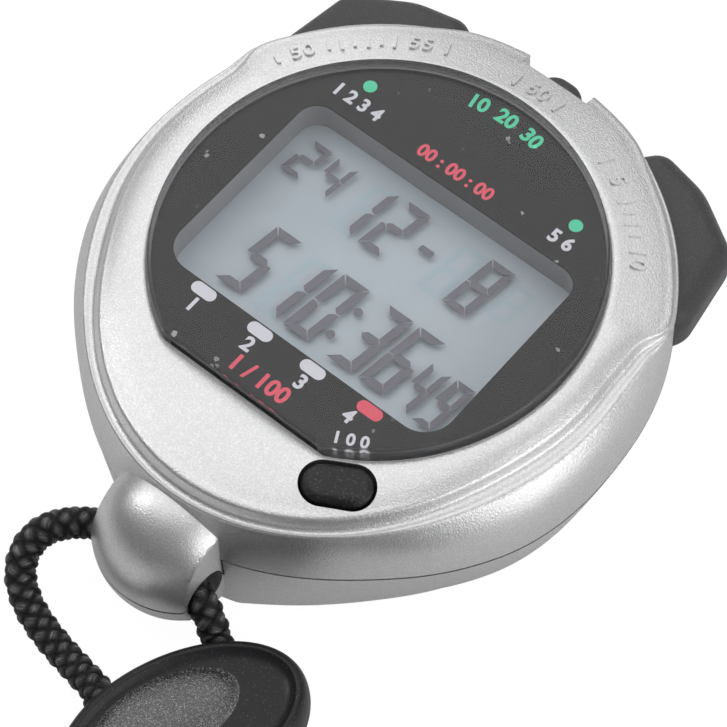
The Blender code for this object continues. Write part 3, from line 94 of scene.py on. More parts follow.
# %% [markdown]
# ## Making a piece
#
# A piece is drawn as a bmesh in millimetres. Its doubles are merged and its faces turned outwards before it
# becomes an object, and only edges sharper than an angle stay sharp, so that rounded parts look round.

# %% From drawing to piece
NEAR = 0.0005  # mm, below which two points count as one


def merged(drawn, distance=NEAR):
    bmesh.ops.remove_doubles(drawn, verts=drawn.verts, dist=distance)
    return drawn


def facing_out(drawn):
    bmesh.ops.recalc_face_normals(drawn, faces=drawn.faces)
    return drawn


def moved(drawn, way):
    bmesh.ops.translate(drawn, vec=way, verts=drawn.verts)
    return drawn


def mesh_of(name, drawn):
    """The drawing as a mesh. The drawing itself is gone after this."""
    mesh = bpy.data.meshes.new(name)
    drawn.to_mesh(mesh)
    drawn.free()
    return mesh


def piece(name, drawn, look, sharp=32):
    """The finished object, at the origin, with its place in its mesh."""
    moved(facing_out(merged(drawn)), WINDOW_CENTRE)
    bmesh.ops.scale(drawn, vec=(MM, MM, MM), verts=drawn.verts)
    mesh = mesh_of(name, drawn)
    mesh.materials.append(look)
    mesh.shade_smooth()
    mesh.set_sharp_from_angle(angle=math.radians(sharp))
    return in_scene(name, mesh)


print("units to metres:", MM)

# %% [markdown]
# A hole is cut with a Boolean. The cutter is only a tool, so once the cut is in the mesh it is removed.

# %% Cutting
def carve(made, cutters, sharp=32):
    """Cuts each drawn shape out of a piece, and leaves nothing but its mesh."""
    for drawn in cutters:
        tool = piece("cutter", drawn, made.data.materials[0])
        step = made.modifiers.new("cut", "BOOLEAN")
        step.operation = "DIFFERENCE"
        step.solver = "EXACT"
        step.object = tool
        ready = made.evaluated_get(bpy.context.evaluated_depsgraph_get())
        mesh = bpy.data.meshes.new_from_object(ready)
        made.modifiers.clear()
        made.data = mesh
        bpy.data.objects.remove(tool)
    made.data.shade_smooth()
    made.data.set_sharp_from_angle(angle=math.radians(sharp))
    return made


print("cutting tool ready")

# %% [markdown]
# Flat outlines are filled 2D curves with thickness. Blender fills any outline and its holes this way, which
# is simpler than joining faces by hand, and the curve becomes a mesh before it is used.

# %% Flat outlines
def drawn_from(name, data):
    """A curve or a text as a bmesh."""
    holder = bpy.data.objects.new(name, data)
    mesh = bpy.data.meshes.new_from_object(holder)
    bpy.data.objects.remove(holder)
    made = bmesh.new()
    made.from_mesh(mesh)
    bpy.data.meshes.remove(mesh)
    return made


def plate(outline, low, high, holes=()):
    """A flat outline given thickness, as a bmesh in millimetres."""
    line = bpy.data.curves.new("outline", "CURVE")
    line.dimensions = "2D"
    line.fill_mode = "BOTH"
    line.extrude = (high - low) / 2
    for loop in (outline, *holes):
        run = line.splines.new("POLY")
        run.points.add(len(loop) - 1)
        for knot, (x, y) in zip(run.points, loop):
            knot.co = (x, y, 0, 1)
        run.use_cyclic_u = True
    made = merged(drawn_from("outline", line))
    if not holes:
        bmesh.ops.dissolve_limit(made, angle_limit=0.001, verts=made.verts, edges=made.edges)
    return facing_out(moved(made, (0, 0, (low + high) / 2)))


def arc(centre, radius, start, end, count):
    """Points on an arc, in degrees."""
    found = []
    for index in range(count + 1):
        angle = math.radians(start + (end - start) * index / count)
        found.append((centre[0] + radius * math.cos(angle), centre[1] + radius * math.sin(angle)))
    return found


def rounded(corners, radii, count=12):
    """The outline through the corners, each rounded by its radius."""
    found = []
    for index, corner in enumerate(corners):
        here = Vector(corner)
        before = (Vector(corners[index - 1]) - here).normalized()
        after = (Vector(corners[(index + 1) % len(corners)]) - here).normalized()
        radius = radii[index]
        if radius == 0:
            found.append(tuple(here))
            continue
        half = before.angle(after) / 2
        centre = here + (before + after).normalized() * (radius / math.sin(half))
        start = here + before * (radius / math.tan(half)) - centre
        end = here + after * (radius / math.tan(half)) - centre
        sweep = start.angle_signed(end)
        for step in range(count + 1):
            found.append(tuple(centre + Matrix.Rotation(-sweep * step / count, 2) @ start))
    return found


def slot_outline(length, width, at, degrees, count=16):
    """Two half circles joined by straight sides."""
    reach = (length - width) / 2
    points = arc((reach, 0), width / 2, -90, 90, count)
    points += arc((-reach, 0), width / 2, 90, 270, count)
    turn = Matrix.Rotation(math.radians(degrees), 2)
    return [tuple(turn @ Vector(point) + Vector(at)) for point in points]


def block(x, y, z):
    """A box between pairs of coordinates."""
    made = bmesh.new()
    bmesh.ops.create_cube(made, size=1)
    bmesh.ops.scale(made, vec=(x[1] - x[0], y[1] - y[0], z[1] - z[0]), verts=made.verts)
    return moved(made, ((x[0] + x[1]) / 2, (y[0] + y[1]) / 2, (z[0] + z[1]) / 2))


def bar(at, low, high, radius, count=40):
    """An upright round bar."""
    made = bmesh.new()
    bmesh.ops.create_cone(
        made, cap_ends=True, segments=count, radius1=radius, radius2=radius, depth=high - low
    )
    return moved(made, (at[0], at[1], (low + high) / 2))


def soften(shape, width, segments, wanted):
    """Rounds the edges that the test picks."""
    bmesh.ops.bevel(
        shape,
        geom=[edge for edge in shape.edges if wanted(edge)],
        offset=width,
        offset_type="OFFSET",
        segments=segments,
        profile=0.5,
        affect="EDGES",
        clamp_overlap=False,
        material=-1,
    )
    return shape


def at_height(height):
    return lambda edge: all(abs(vert.co.z - height) < 0.01 for vert in edge.verts)


print("an outline of a slot has", len(slot_outline(8, 5, (0, 0), 0)), "points")

# %% [markdown]
# ## Shared effects
#
# Several finishes are built from the same few effects, so each effect is a node group made once: a grain, a
# scatter of flecks, and the faint smudges that handling leaves. They put out only masks and heights.

# %% Nodes and node groups
def node(tree, kind, sockets, operation=None):
    """A new node. Each socket, by its name or number, gets a value or a link from another socket."""
    made = tree.nodes.new("ShaderNode" + kind)
    if operation:
        made.operation = operation
    plug(tree, made, sockets)
    return made


def plug(tree, made, sockets):
    """Sets or links sockets of a node that is there already."""
    for label, value in sockets.items():
        if isinstance(value, bpy.types.NodeSocket):
            tree.links.new(value, made.inputs[label])
        else:
            made.inputs[label].default_value = value


def maths(tree, operation, *values):
    """The result of a sum on values or sockets."""
    return node(tree, "Math", dict(enumerate(values)), operation).outputs["Value"]


def remap(tree, source, low, high, to_low=0.0, to_high=1.0):
    """A node that moves one range of values onto another."""
    ranges = {"From Min": low, "From Max": high, "To Min": to_low, "To Max": to_high}
    return node(tree, "MapRange", {"Value": source, **ranges}).outputs["Result"]


def effect(name, **wanted):
    """An empty node group with a Vector socket, named numbers in and one Value out."""
    made = bpy.data.node_groups.new(name, "ShaderNodeTree")
    made.interface.new_socket("Vector", in_out="INPUT", socket_type="NodeSocketVector")
    for label, value in wanted.items():
        socket = made.interface.new_socket(label, in_out="INPUT", socket_type="NodeSocketFloat")
        socket.default_value = value
    made.interface.new_socket("Value", in_out="OUTPUT", socket_type="NodeSocketFloat")
    start = made.nodes.new("NodeGroupInput").outputs
    return made, start, made.nodes.new("NodeGroupOutput")


print("node tools ready")

# %% Grain
grain, start, end = effect("grain", Scale=1500.0, Roughness=0.5)
given = {label: start[label] for label in ("Vector", "Scale", "Roughness")}
noise = node(grain, "TexNoise", {**given, "Detail": 3.0})
plug(grain, end, {"Value": noise.outputs["Fac"]})
print("grain sockets:", [item.name for item in grain.interface.items_tree])

# %% Flecks
flecks, start, end = effect("flecks", Scale=4000.0, Rarity=0.75)
cells = node(flecks, "TexVoronoi", {"Vector": start["Vector"], "Scale": start["Scale"]})
apart = node(flecks, "SeparateColor", {"Color": cells.outputs["Color"]})
plug(flecks, end, {"Value": remap(flecks, apart.outputs["Red"], start["Rarity"], 1.0)})
print("flecks sockets:", [item.name for item in flecks.interface.items_tree])

# %% Smudges
smudges, start, end = effect("smudges", Scale=60.0)
given = {"Vector": start["Vector"], "Scale": start["Scale"]}
cloud = node(smudges, "TexNoise", {**given, "Detail": 4.0, "Distortion": 0.6})
plug(smudges, end, {"Value": remap(smudges, cloud.outputs["Fac"], 0.35, 0.7)})
print("smudges sockets:", [item.name for item in smudges.interface.items_tree])

# %% [markdown]
# ## Finishes
#
# A finish starts as a Principled shader, and effects feed its colour, roughness and normal. One small kit of
# helpers places an effect, mixes two colours by it, or turns it into relief, so each finish stays readable.

# %% Finish kit
class Finish:
    """A material under construction, on Object coordinates."""

    def __init__(self, name, colour, roughness, metallic=0.0):
        self.material = bpy.data.materials.new(name)
        self.material.use_nodes = True
        self.tree = self.material.node_tree
        self.place = self.tree.nodes.new("ShaderNodeTexCoord").outputs["Object"]
        self.set({"Base Color": (*colour, 1), "Roughness": roughness, "Metallic": metallic})

    def set(self, sockets):
        """Sets or links sockets of the shader."""
        plug(self.tree, self.tree.nodes["Principled BSDF"], sockets)

    def add(self, group, **values):
        """The value of an effect, with its own numbers."""
        made = self.tree.nodes.new("ShaderNodeGroup")
        made.node_tree = group
        plug(self.tree, made, {"Vector": self.place, **values})
        return made.outputs["Value"]

    def colour_by(self, mask, first, second):
        """Base colour between two colours."""
        made = self.tree.nodes.new("ShaderNodeMix")
        made.data_type = "RGBA"
        plug(self.tree, made, {"Factor": mask, "A": (*first, 1), "B": (*second, 1)})
        self.set({"Base Color": made.outputs["Result"]})

    def roughness_by(self, mask, low, high):
        self.set({"Roughness": remap(self.tree, mask, 0.0, 1.0, low, high)})

    def relief_by(self, *heights):
        """Bumps, one after another, from pairs of a height and its depth in metres."""
        before = {}
        for height, depth in heights:
            made = node(self.tree, "Bump", {"Distance": depth, "Height": height, **before})
            before = {"Normal": made.outputs["Normal"]}
        self.set(before)


print("finish kit ready")

# %% [markdown]
# The case is silver-coloured plastic: a satin metallic paint with tiny bright and dark flakes. The top has a
# deeper peel than the lug and the back, so there are two versions of it.

# %% Silver finishes
def speckled(name, base, specks, tints, shine, *peels, **other):
    """A finish with fine specks.

    The base is (colour, roughness) or that and how metallic it is, the specks are (scale, rarity) and go
    from the first tint to the second, the shine is (scale, low, high) and a peel (scale, roughness, depth).
    """
    made = Finish(name, *base)
    made.colour_by(made.add(flecks, Scale=specks[0], Rarity=specks[1]), *tints)
    made.roughness_by(made.add(smudges, Scale=shine[0]), *shine[1:])
    made.relief_by(*((made.add(grain, Scale=scale, Roughness=rough), deep) for scale, rough, deep in peels))
    made.set(other)
    return made.material


def silver(name, peel_scale, peel_depth):
    tints = ((0.68, 0.68, 0.685), (0.82, 0.82, 0.83))
    peels = ((peel_scale, 0.45, peel_depth), (9000.0, 0.6, 0.00001))
    base = ((0.74, 0.74, 0.745), 0.34, 0.86)
    return speckled(name, base, (8000.0, 0.5), tints, (60.0, 0.31, 0.36), *peels)


silver_peel = silver("silver_peel", 5200.0, 0.00005)
silver_satin = silver("silver_satin", 5600.0, 0.00003)
print("silver finishes:", silver_peel.name, silver_satin.name)

# %% [markdown]
# The buttons are black rubber with a fine satin grain, and the mode button sparkles a little. The clasp is
# harder black plastic: its rim is nearly smooth with small pale specks, and its pad is pebbled for the thumb.
# The pad's brighter, denser flecks are partly real specks and partly painted glints of its pebbles.

# %% Black finishes
def clasp_finish(name, peel, roughness, rarity, bright, **other):
    tints = ((0.015, 0.015, 0.017), (bright, bright, bright + 0.005))
    base = ((0.016, 0.016, 0.018), roughness)
    shine = (80.0, roughness - 0.03, roughness + 0.06)
    return speckled(name, base, (9500.0, rarity), tints, shine, peel, **other)


black_rubber_satin = speckled(
    "black_rubber_satin",
    ((0.046, 0.046, 0.049), 0.4),
    (9000.0, 0.85),
    ((0.046, 0.046, 0.049), (0.085, 0.085, 0.09)),
    (90.0, 0.36, 0.46),
    (6500.0, 0.55, 0.00006),
)
black_sparkling = speckled(
    "black_sparkling",
    ((0.007, 0.007, 0.008), 0.3),
    (7000.0, 0.85),
    ((0.004, 0.004, 0.005), (0.07, 0.07, 0.075)),
    (90.0, 0.27, 0.34),
    (4200.0, 0.6, 0.00014),
)
dull = {"Specular IOR Level": 0.32}
glossy = {"Specular IOR Level": 0.9, "IOR": 1.65}
clasp_smooth = clasp_finish("clasp_smooth", (5500.0, 0.5, 0.000015), 0.34, 0.95, 0.08, **dull)
# The pad's pale flecks are partly painted glints of its pebbles, brighter and denser than the rim's specks.
clasp_pebbled = clasp_finish("clasp_pebbled", (5200.0, 0.5, 0.00011), 0.22, 0.75, 0.28, **glossy)
print("black finishes:", black_rubber_satin.name, clasp_smooth.name, clasp_pebbled.name)

# %% [markdown]
# The window is clear acrylic. Its shader only transmits; light that falls on the print passes it as through
# air, because a pane this thin casts almost no shadow. Its cut edge is a little rough, which greys the rim.

# %% Clear window finish
CUT_EDGE = (0.02395, 0.0241)  # metres from the middle, where the clear face ends and the rough edge begins


def window_finish():
    made = Finish("clear_window", (1.0, 1.0, 1.0), 0.02)
    made.set({"Transmission Weight": 1.0, "IOR": 1.36})
    to_middle = {"Location": (0, -WINDOW_CENTRE.y * MM, 0), "Scale": (1, 1, 0)}
    flat = node(made.tree, "Mapping", {"Vector": made.place, **to_middle})
    reach = node(made.tree, "VectorMath", {0: flat.outputs["Vector"]}, "LENGTH")
    made.roughness_by(remap(made.tree, reach.outputs["Value"], *CUT_EDGE), 0.0, 0.3)
    return made.material


clear_window = window_finish()
print("window finish:", clear_window.name)

# %% [markdown]
# The print is a dark grey sheet with a little dust on it, and marks in white, green and red. The display is a
# blue-grey reflector with the figures floating just above it, in a violet grey.

# %% Print and display finishes
def printed(name, colour, roughness=0.5, dusty=0.0, gloss=0.5):
    made = Finish(name, colour, roughness)
    dust = made.add(flecks, Scale=2400.0, Rarity=0.996)
    made.colour_by(dust, colour, tuple(min(value * 1.5 + dusty, 1.0) for value in colour))
    made.set({"Specular IOR Level": gloss})
    return made.material


print_dark = printed("print_dark", (0.005, 0.005, 0.0055), 0.6, 0.35, 0.2)
mark_white = printed("mark_white", (0.62, 0.62, 0.68))
mark_green = printed("mark_green", (0.05, 0.58, 0.32))
mark_red = printed("mark_red", (0.72, 0.065, 0.115))


def display_finish():
    made = Finish("display_reflector", (0.41, 0.46, 0.515), 0.35)
    clouds = made.add(smudges, Scale=30.0)
    made.colour_by(clouds, (0.375, 0.43, 0.48), (0.445, 0.505, 0.55))
    made.relief_by((made.add(grain, Scale=5000.0, Roughness=0.6), 0.00001))
    return made.material


display_reflector = display_finish()
figure_dark = printed("figure_dark", (0.12, 0.118, 0.15), 0.4)
figure_faint = printed("figure_faint", (0.36, 0.45, 0.505))
lip_grey = printed("lip_grey", (0.20, 0.205, 0.215), 0.4)
rim_grey = printed("rim_grey", (0.17, 0.17, 0.18), 0.4)
print("marks:", mark_white.name, mark_green.name, mark_red.name)

# %% [markdown]
# ## Finishes of the hidden parts
#
# The solids that stay as they are also get a finish each: the board, the battery, the screws, the springs and
# the rubber contacts can be seen when the case is opened or the part is taken to pieces.

# %% Hidden finishes
def hidden(name, colour, roughness, metallic, scale, depth):
    made = Finish(name, colour, roughness, metallic)
    second = tuple(min(value * 1.25 + 0.01, 1.0) for value in colour)
    made.colour_by(made.add(smudges, Scale=200.0), colour, second)
    made.roughness_by(made.add(smudges, Scale=90.0), roughness, min(roughness + 0.12, 1.0))
    made.relief_by((made.add(grain, Scale=scale, Roughness=0.5), depth))
    return made.material


hidden_finishes = {
    "white_plastic": hidden("white_plastic_moulded", (0.72, 0.72, 0.70), 0.45, 0.0, 2500.0, 0.00001),
    "conductive_rubber": hidden("rubber_contact", (0.16, 0.07, 0.07), 0.6, 0.0, 3500.0, 0.00002),
    "board_green": hidden("board_lacquer", (0.02, 0.13, 0.06), 0.35, 0.0, 1200.0, 0.00001),
    "black_resin": hidden("resin_drop", (0.015, 0.015, 0.016), 0.3, 0.0, 900.0, 0.00003),
    "steel": hidden("bright_steel", (0.58, 0.58, 0.59), 0.28, 1.0, 2800.0, 0.000006),
    "brass": hidden("brass_sheet", (0.72, 0.54, 0.24), 0.3, 1.0, 2800.0, 0.000006),
    "tie_strip": hidden("tie_nylon", (0.03, 0.03, 0.033), 0.55, 0.0, 3000.0, 0.00003),
}
dressed = 0
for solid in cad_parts.values():
    for slot in solid.material_slots:
        for label, finish in hidden_finishes.items():
            if slot.material and slot.material.name.split(".")[0].endswith(label):
                slot.material = finish
                dressed += 1
                break
print("hidden slots dressed:", dressed, "of", len(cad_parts))

# %% [markdown]
# ## The shape of the case
#
# Seen from above, the case is a circle with a chin at 6 o'clock, where the lug grows out, and a waist beside
# each side button. Its top is a dome inside a groove. The groove fades out between the two side buttons, and
# there the dome runs on to the edge. Each of these is one function of the angle from 6 o'clock, which counts
# up towards 3 o'clock and down towards 9 o'clock.

# %% Radii round the case
# (degrees from 6 o'clock, how far the edge of the top stands outside the dome's foot)
EDGE = ((102, 0), (105, 0.02), (107, 0.08), (109, 0.32), (111, 0.95), (113, 1.9), (115, 2.55))
EDGE += ((117.5, 2.72), (121, 2.62), (128, 2.45), (144, 2.35), (150, 2.45), (154, 2.75))
EDGE += ((158, 3.1), (163, 3.15), (168, 3.05), (180, 2.9))


def smooth_step(value, low, high):
    share = min(max((value - low) / (high - low), 0), 1)
    return share * share * (3 - 2 * share)


def bulge(angle, half_angle):
    """1 at 6 o'clock, falling to 0 at the half angle from it."""
    return math.cos(math.radians(angle * 90 / half_angle)) ** 2 if angle < half_angle else 0.0


def case_radius(angle):
    """A circle with a waist of 1.1 mm beside the side buttons and a chin of 2.2 mm at the lug."""
    return 33.1 - 1.1 * smooth_step(abs(angle), 62, 97) + 2.2 * bulge(abs(angle), 44)


def curve_through(knots, share):
    """The value at a share of the way between the two middle ones of four knots."""
    a, b, c, d = knots
    bend = 2 * b + (c - a) * share + (2 * a - 5 * b + 4 * c - d) * share**2
    return (bend + (3 * b - a - 3 * c + d) * share**3) / 2


def edge_reach(angle):
    """How far the edge of the top stands outside the dome's foot."""
    angle = abs(angle)
    if angle <= EDGE[0][0]:
        return 0.0
    last = len(EDGE) - 1
    place = next(index for index in range(last) if angle <= EDGE[index + 1][0] + 1e-6)
    picked = [EDGE[min(max(place + step, 0), last)][1] for step in (-1, 0, 1, 2)]
    low, high = EDGE[place][0], EDGE[place + 1][0]
    return max(curve_through(picked, (angle - low) / (high - low)), 0.0)


print("case radius at 6, 3 and 12 o'clock:", [round(case_radius(a), 2) for a in (0, 90, 180)])

# %% [markdown]
# A cross-section of the front shell is a closed line: the pocket for the window, the dome, the groove, the
# shoulder, the parting line and back along the inside. A smooth curve through the same few knots as the solid
# part gives the outside, with enough points that no facet shows.

# %% Cross-section of the front shell
PARTING = 10.43  # height of the lower edge of the front shell
ROOF = 17.0  # height of its inside
DOME_START = 25.2
DOME_TOP = 20.57
POCKET_RADIUS = 24.63
POCKET_CHORD = 22.05
POCKET_FLOOR = 19.0


def dome_radius(away):
    """Where the dome ends: its foot lies a little to the 9 o'clock side, and its chin to the other."""
    side = abs(away)
    skew = 0.6 * math.sin(math.radians(away)) * (1 - smooth_step(side, 96, 116))
    return 28.35 + 4.6 * bulge(abs(away - 5), 70) + 0.65 * smooth_step(side, 96, 112) - skew


def outside_knots(away):
    """(radius, height) down the outside, from the dome's start to the parting line."""
    body = case_radius(away)
    out = edge_reach(away)
    foot = dome_radius(away) + out
    foot_z = 19.45 - 0.37 * out
    even = smooth_step(out, 0, 2)
    knots = []
    for share, dome_drop, slope_drop in ((0, 0, 0), (0.3, 0.15, 0.26), (0.6, 0.42, 0.53), (0.85, 0.76, 0.79)):
        drop = dome_drop + (slope_drop - dome_drop) * even
        knots.append((DOME_START + (foot - DOME_START) * share, DOME_TOP - (DOME_TOP - foot_z) * drop))
    wide = min(max((body - foot) / 2.4, 0.12), 1)
    low = min(18.16, foot_z - 0.5)
    crest = low + 0.14 * wide
    valley = foot + 1.05 * wide
    rim = body - valley
    knots += [
        (foot, foot_z),
        (foot + 0.3 * wide, foot_z + (low - foot_z) * 0.45),
        (foot + 0.62 * wide, foot_z + (low - foot_z) * 0.86),
        (valley, low),
        (valley + 0.27 * rim, crest),
        (valley + 0.50 * rim, crest - 0.82),
        (valley + 0.78 * rim, crest - 2.5),
        (valley + 0.955 * rim, crest - 5.1),
        (body, PARTING),
    ]
    return knots


def smooth_line(knots, steps):
    """A finer line on a smooth curve through the knots, with bends that follow their spacing."""
    points = [Vector(knot) for knot in knots]
    spans = [max((end - start).length, 1e-6) for start, end in zip(points, points[1:])]
    slopes = [(end - start) / span for start, end, span in zip(points, points[1:], spans)]
    leans = [slopes[0]]
    for left, right, before, after in zip(slopes, slopes[1:], spans, spans[1:]):
        leans.append((left * after + right * before) / (before + after))
    leans.append(slopes[-1])
    found = []
    for index, span in enumerate(spans):
        for step in range(steps):
            t = step / steps
            point = points[index] * (2 * t**3 - 3 * t**2 + 1) + points[index + 1] * (3 * t**2 - 2 * t**3)
            point += leans[index] * span * (t**3 - 2 * t**2 + t) + leans[index + 1] * span * (t**3 - t**2)
            found.append(tuple(point))
    return [*found, tuple(points[-1])]


def pocket_radius(away):
    """The pocket follows the window: a circle with its lower edge cut straight."""
    straight = POCKET_CHORD / math.cos(math.radians(away)) if abs(away) < 80 else math.inf
    return min(POCKET_RADIUS, straight)


def front_section(away):
    body = case_radius(away)
    pocket = pocket_radius(away)
    top = [(0, POCKET_FLOOR), (pocket, POCKET_FLOOR)]
    top += [(pocket, 20.34), (pocket + 0.08, 20.5), (pocket + 0.25, DOME_TOP)]
    inside = [(body - 2, PARTING), (body - 2, 13.6), (body - 2.5, 15.2), (body - 4.6, 16.4)]
    return [*top, *smooth_line(outside_knots(away), 4), *inside, (body - 5.4, ROOF), (0, ROOF)]


print("points in the section:", len(front_section(0)))

# %% [markdown]
# A straight stack of points is spun once round, and each point is then moved to its own cross-section. The
# spin makes all the faces, and the cross-section gives every angle its own shape.

# %% Spin a section round
def spun(points, steps):
    """A line of points spun once round the upright axis."""
    made = bmesh.new()
    line = [made.verts.new(point) for point in points]
    edges = [made.edges.new(pair) for pair in zip(line, line[1:])]
    bmesh.ops.spin(
        made,
        geom=line + edges,
        cent=(0, 0, 0),
        axis=(0, 0, 1),
        angle=2 * math.pi,
        steps=steps,
        use_merge=True,
    )
    return merged(made, 0.0001)


def spun_section(section, steps=360):
    """A body whose section depends on the angle from 6 o'clock, and starts and ends on the axis."""
    stack = [(10 if radius else 0, 0, row) for row, (radius, _) in enumerate(section(0))]
    made = spun(stack, steps)
    sections = {}
    for vert in made.verts:
        row = round(vert.co.z)
        around = vert.co.xy.length
        away = round(math.degrees(math.atan2(vert.co.x, -vert.co.y)), 2) if around > 1 else 0
        if away not in sections:
            sections[away] = section(away)
        radius, height = sections[away][row]
        out = vert.co.xy / around if around > 1 else Vector((0, 0))
        vert.co = Vector((out.x * radius, out.y * radius, height))
    return made


def turned(profile, steps=48):
    """A line of (radius, height) spun round an upright axis."""
    return spun([(radius, 0, height) for radius, height in profile], steps)


def laid(shape, direction, at):
    """An upright shape tipped over to a direction and moved to its place."""
    turn = Vector((0, 0, 1)).rotation_difference(Vector(direction)).to_matrix()
    bmesh.ops.rotate(shape, cent=(0, 0, 0), matrix=turn, verts=shape.verts)
    return moved(shape, at)


print("spinning tools ready")

# %% [markdown]
# ## Front shell
#
# The shell is cut open for the display, the mode button, the recall button's notch and the two side buttons.
# Under the roof stand the posts that take the screws.

# %% Frame of a side button
SIDE_ANGLE = math.radians(50)
SIDE_OUT = Vector((math.cos(SIDE_ANGLE), math.sin(SIDE_ANGLE), 0))
SIDE_DOWN = Vector((math.sin(SIDE_ANGLE), -math.cos(SIDE_ANGLE), 0))


def beside(shape, mirrored):
    """Moves a shape from a side button's frame, x outwards and y towards the lug, to the watch's."""
    for vert in shape.verts:
        point = SIDE_OUT * vert.co.x + SIDE_DOWN * vert.co.y
        vert.co = Vector((-point.x if mirrored else point.x, point.y, vert.co.z))
    return facing_out(shape)


print("side buttons look towards", tuple(round(value, 3) for value in SIDE_OUT))

# %% Shell and its openings
WINDOW_X = 18.5
WINDOW_Y = (-14.0, 11.3)
MODE_AT = (14.2, -23.67)
MODE_TURN = 30


def display_opening(margin, count=14):
    left, right_side = -WINDOW_X - margin, WINDOW_X + margin
    low, high = WINDOW_Y[0] - margin, WINDOW_Y[1] + margin
    corners = ((left, low), (right_side, low), (right_side, high), (left, high))
    return rounded(corners, (3.5, 3.5, 2.5, 2.5), count)


front = piece("case_front", spun_section(front_section, 540), silver_peel, sharp=40)
openings = [
    plate(display_opening(0.7), 16, 20),
    plate(slot_outline(8.2, 5.05, MODE_AT, MODE_TURN, 24), 16, 40),
    block((-4.5, 4.5), (30.1, 60), (8, 40)),
    block((-3.1, 3.1), (25, 60), (8, 16.3)),
]
for reach, width, height in ((60, (-10.9, 12.0), 16.9), (27.3, (-14.0, 13.3), 14.1)):
    for mirrored in (False, True):
        openings.append(beside(block((23.9, reach), width, (8, height)), mirrored))
carve(front, openings, sharp=40)
print("front shell faces:", len(front.data.polygons))

# %% [markdown]
# The screw posts are tubes, which a straight ring gives directly.

# %% Posts under the roof
BOSSES = ((24.2, 3.0), (-24.2, 3.0), (0, -24.3), (0, 19.5))
POSTS = ((8.5, 17.3), (-8.5, 17.3), (-9.0, -21.3))


def tube(at, low, high, outer, inner):
    line = ((outer, low), (outer, high), (inner, high), (inner, low), (outer, low))
    return moved(turned(line, 32), (*at, 0))


def gathered(shapes):
    """Several drawn shapes as one."""
    made = bmesh.new()
    for shape in shapes:
        mesh = mesh_of("part", shape)
        made.from_mesh(mesh)
        bpy.data.meshes.remove(mesh)
    return made


tubes = [tube(at, 8.9, 17.2, 2.1, 1.2) for at in BOSSES]
tubes += [tube(at, 10.6, 17.2, 2.0, 1.2) for at in POSTS]
front_posts = piece("front_posts", gathered(tubes), silver_satin)
print("posts:", len(tubes))

# %% [markdown]
# ## Lug
#
# A squashed ball, cut flat at both ends, grows out of the chin. It is split between the shells at a lower
# line than the rest of the case, so the parting line makes a step beside it. The cord's tunnel runs across it
# and widens at its mouths.

# %% Lug halves
LUG_AT = Vector((0.35, -34.2, 8.0))
LUG_HALF_WIDTH = 6.5
LUG_REACH = (9.2, 8.5)
LUG_RISE = 9.5
LUG_DROP = 7.0
LUG_ROOT = -31.6
LUG_SPLIT = (6.7, 7.1)  # the lower half ends at the first height, the upper one starts at the second
TUNNEL = 2.3  # its radius, which grows by 0.5 mm over the last 2.4 mm to each mouth
TUNNEL_AT = (-37.0, 6.8)


def keep_side(shape, point, outward):
    """Cuts a shape at a plane, keeps what lies behind it and closes the cut."""
    found = bmesh.ops.bisect_plane(
        shape,
        geom=shape.verts[:] + shape.edges[:] + shape.faces[:],
        plane_co=point,
        plane_no=outward,
        clear_outer=True,
    )
    rim = [item for item in found["geom_cut"] if isinstance(item, bmesh.types.BMEdge)]
    bmesh.ops.holes_fill(shape, edges=rim, sides=0)


def lug_half(upper):
    made = bmesh.new()
    bmesh.ops.create_uvsphere(made, u_segments=96, v_segments=64, radius=1)
    for vert in made.verts:
        x, y, high = vert.co
        full = 1.0
        if -0.999 < high < 0:
            full = (1 + high**3) ** (1 / 3) / math.sqrt(1 - high * high)
        tall = high * (LUG_RISE if high > 0 else LUG_DROP)
        vert.co = Vector((x * LUG_REACH[0] * full, y * LUG_REACH[1] * full, tall))
    moved(made, LUG_AT)
    for side in (1, -1):
        keep_side(made, (LUG_AT.x + side * LUG_HALF_WIDTH, 0, 0), (side, 0, 0))
    keep_side(made, (0, LUG_ROOT, 0), (0, 1, 0))
    keep_side(made, (0, 0, LUG_SPLIT[upper]), (0, 0, -1 if upper else 1))
    ends = (LUG_AT.x - LUG_HALF_WIDTH, LUG_AT.x + LUG_HALF_WIDTH)
    soften(
        made,
        0.35,
        3,
        lambda edge: len(edge.link_faces) == 2
        and edge.calc_face_angle(0) > math.radians(30)
        and any(all(abs(vert.co.x - end) < 0.01 for vert in edge.verts) for end in ends)
        and all(vert.co.y < LUG_ROOT - 0.1 for vert in edge.verts)
        and not all(6.65 < vert.co.z < 7.15 for vert in edge.verts),
    )
    return made


def cord_tunnel():
    reach, flare = LUG_HALF_WIDTH + 2, TUNNEL + 0.5 * (2 + 2.4) / 2.4
    line = ((0, reach), (flare, reach), (TUNNEL, 4.1), (TUNNEL, -4.1), (flare, -reach), (0, -reach))
    return laid(turned(line, 64), (1, 0, 0), (LUG_AT.x, *TUNNEL_AT))


front_lug = piece("lug_front", lug_half(True), silver_satin, sharp=40)
carve(front_lug, [cord_tunnel()], sharp=40)
back_lug = piece("lug_back", lug_half(False), silver_satin, sharp=40)
carve(back_lug, [cord_tunnel()], sharp=40)
carve(front, [cord_tunnel()], sharp=40)
print("lug faces:", len(front_lug.data.polygons) + len(back_lug.data.polygons))

# %% [markdown]
# ## Back shell
#
# The back is a shallow bowl whose flat underside is smaller than the case, so the watch seems to float a
# little above the table. Its underside has four screw wells and the sound holes of the buzzer.

# %% Back shell
BACK_LEVELS = ((0, 0), (0.08, 0.14), (0.40, 0.28), (0.95, 0.39), (1.75, 0.48), (2.8, 0.54))
BACK_LEVELS += ((5.135, 0.70), (10.12, 1))


def back_radius(away, share):
    tuck = max(min(max((abs(away) - 12) / 40, 0), 1) ** 0.65, 0.12)
    return case_radius(away) - 4.6 * (1 - share) * tuck


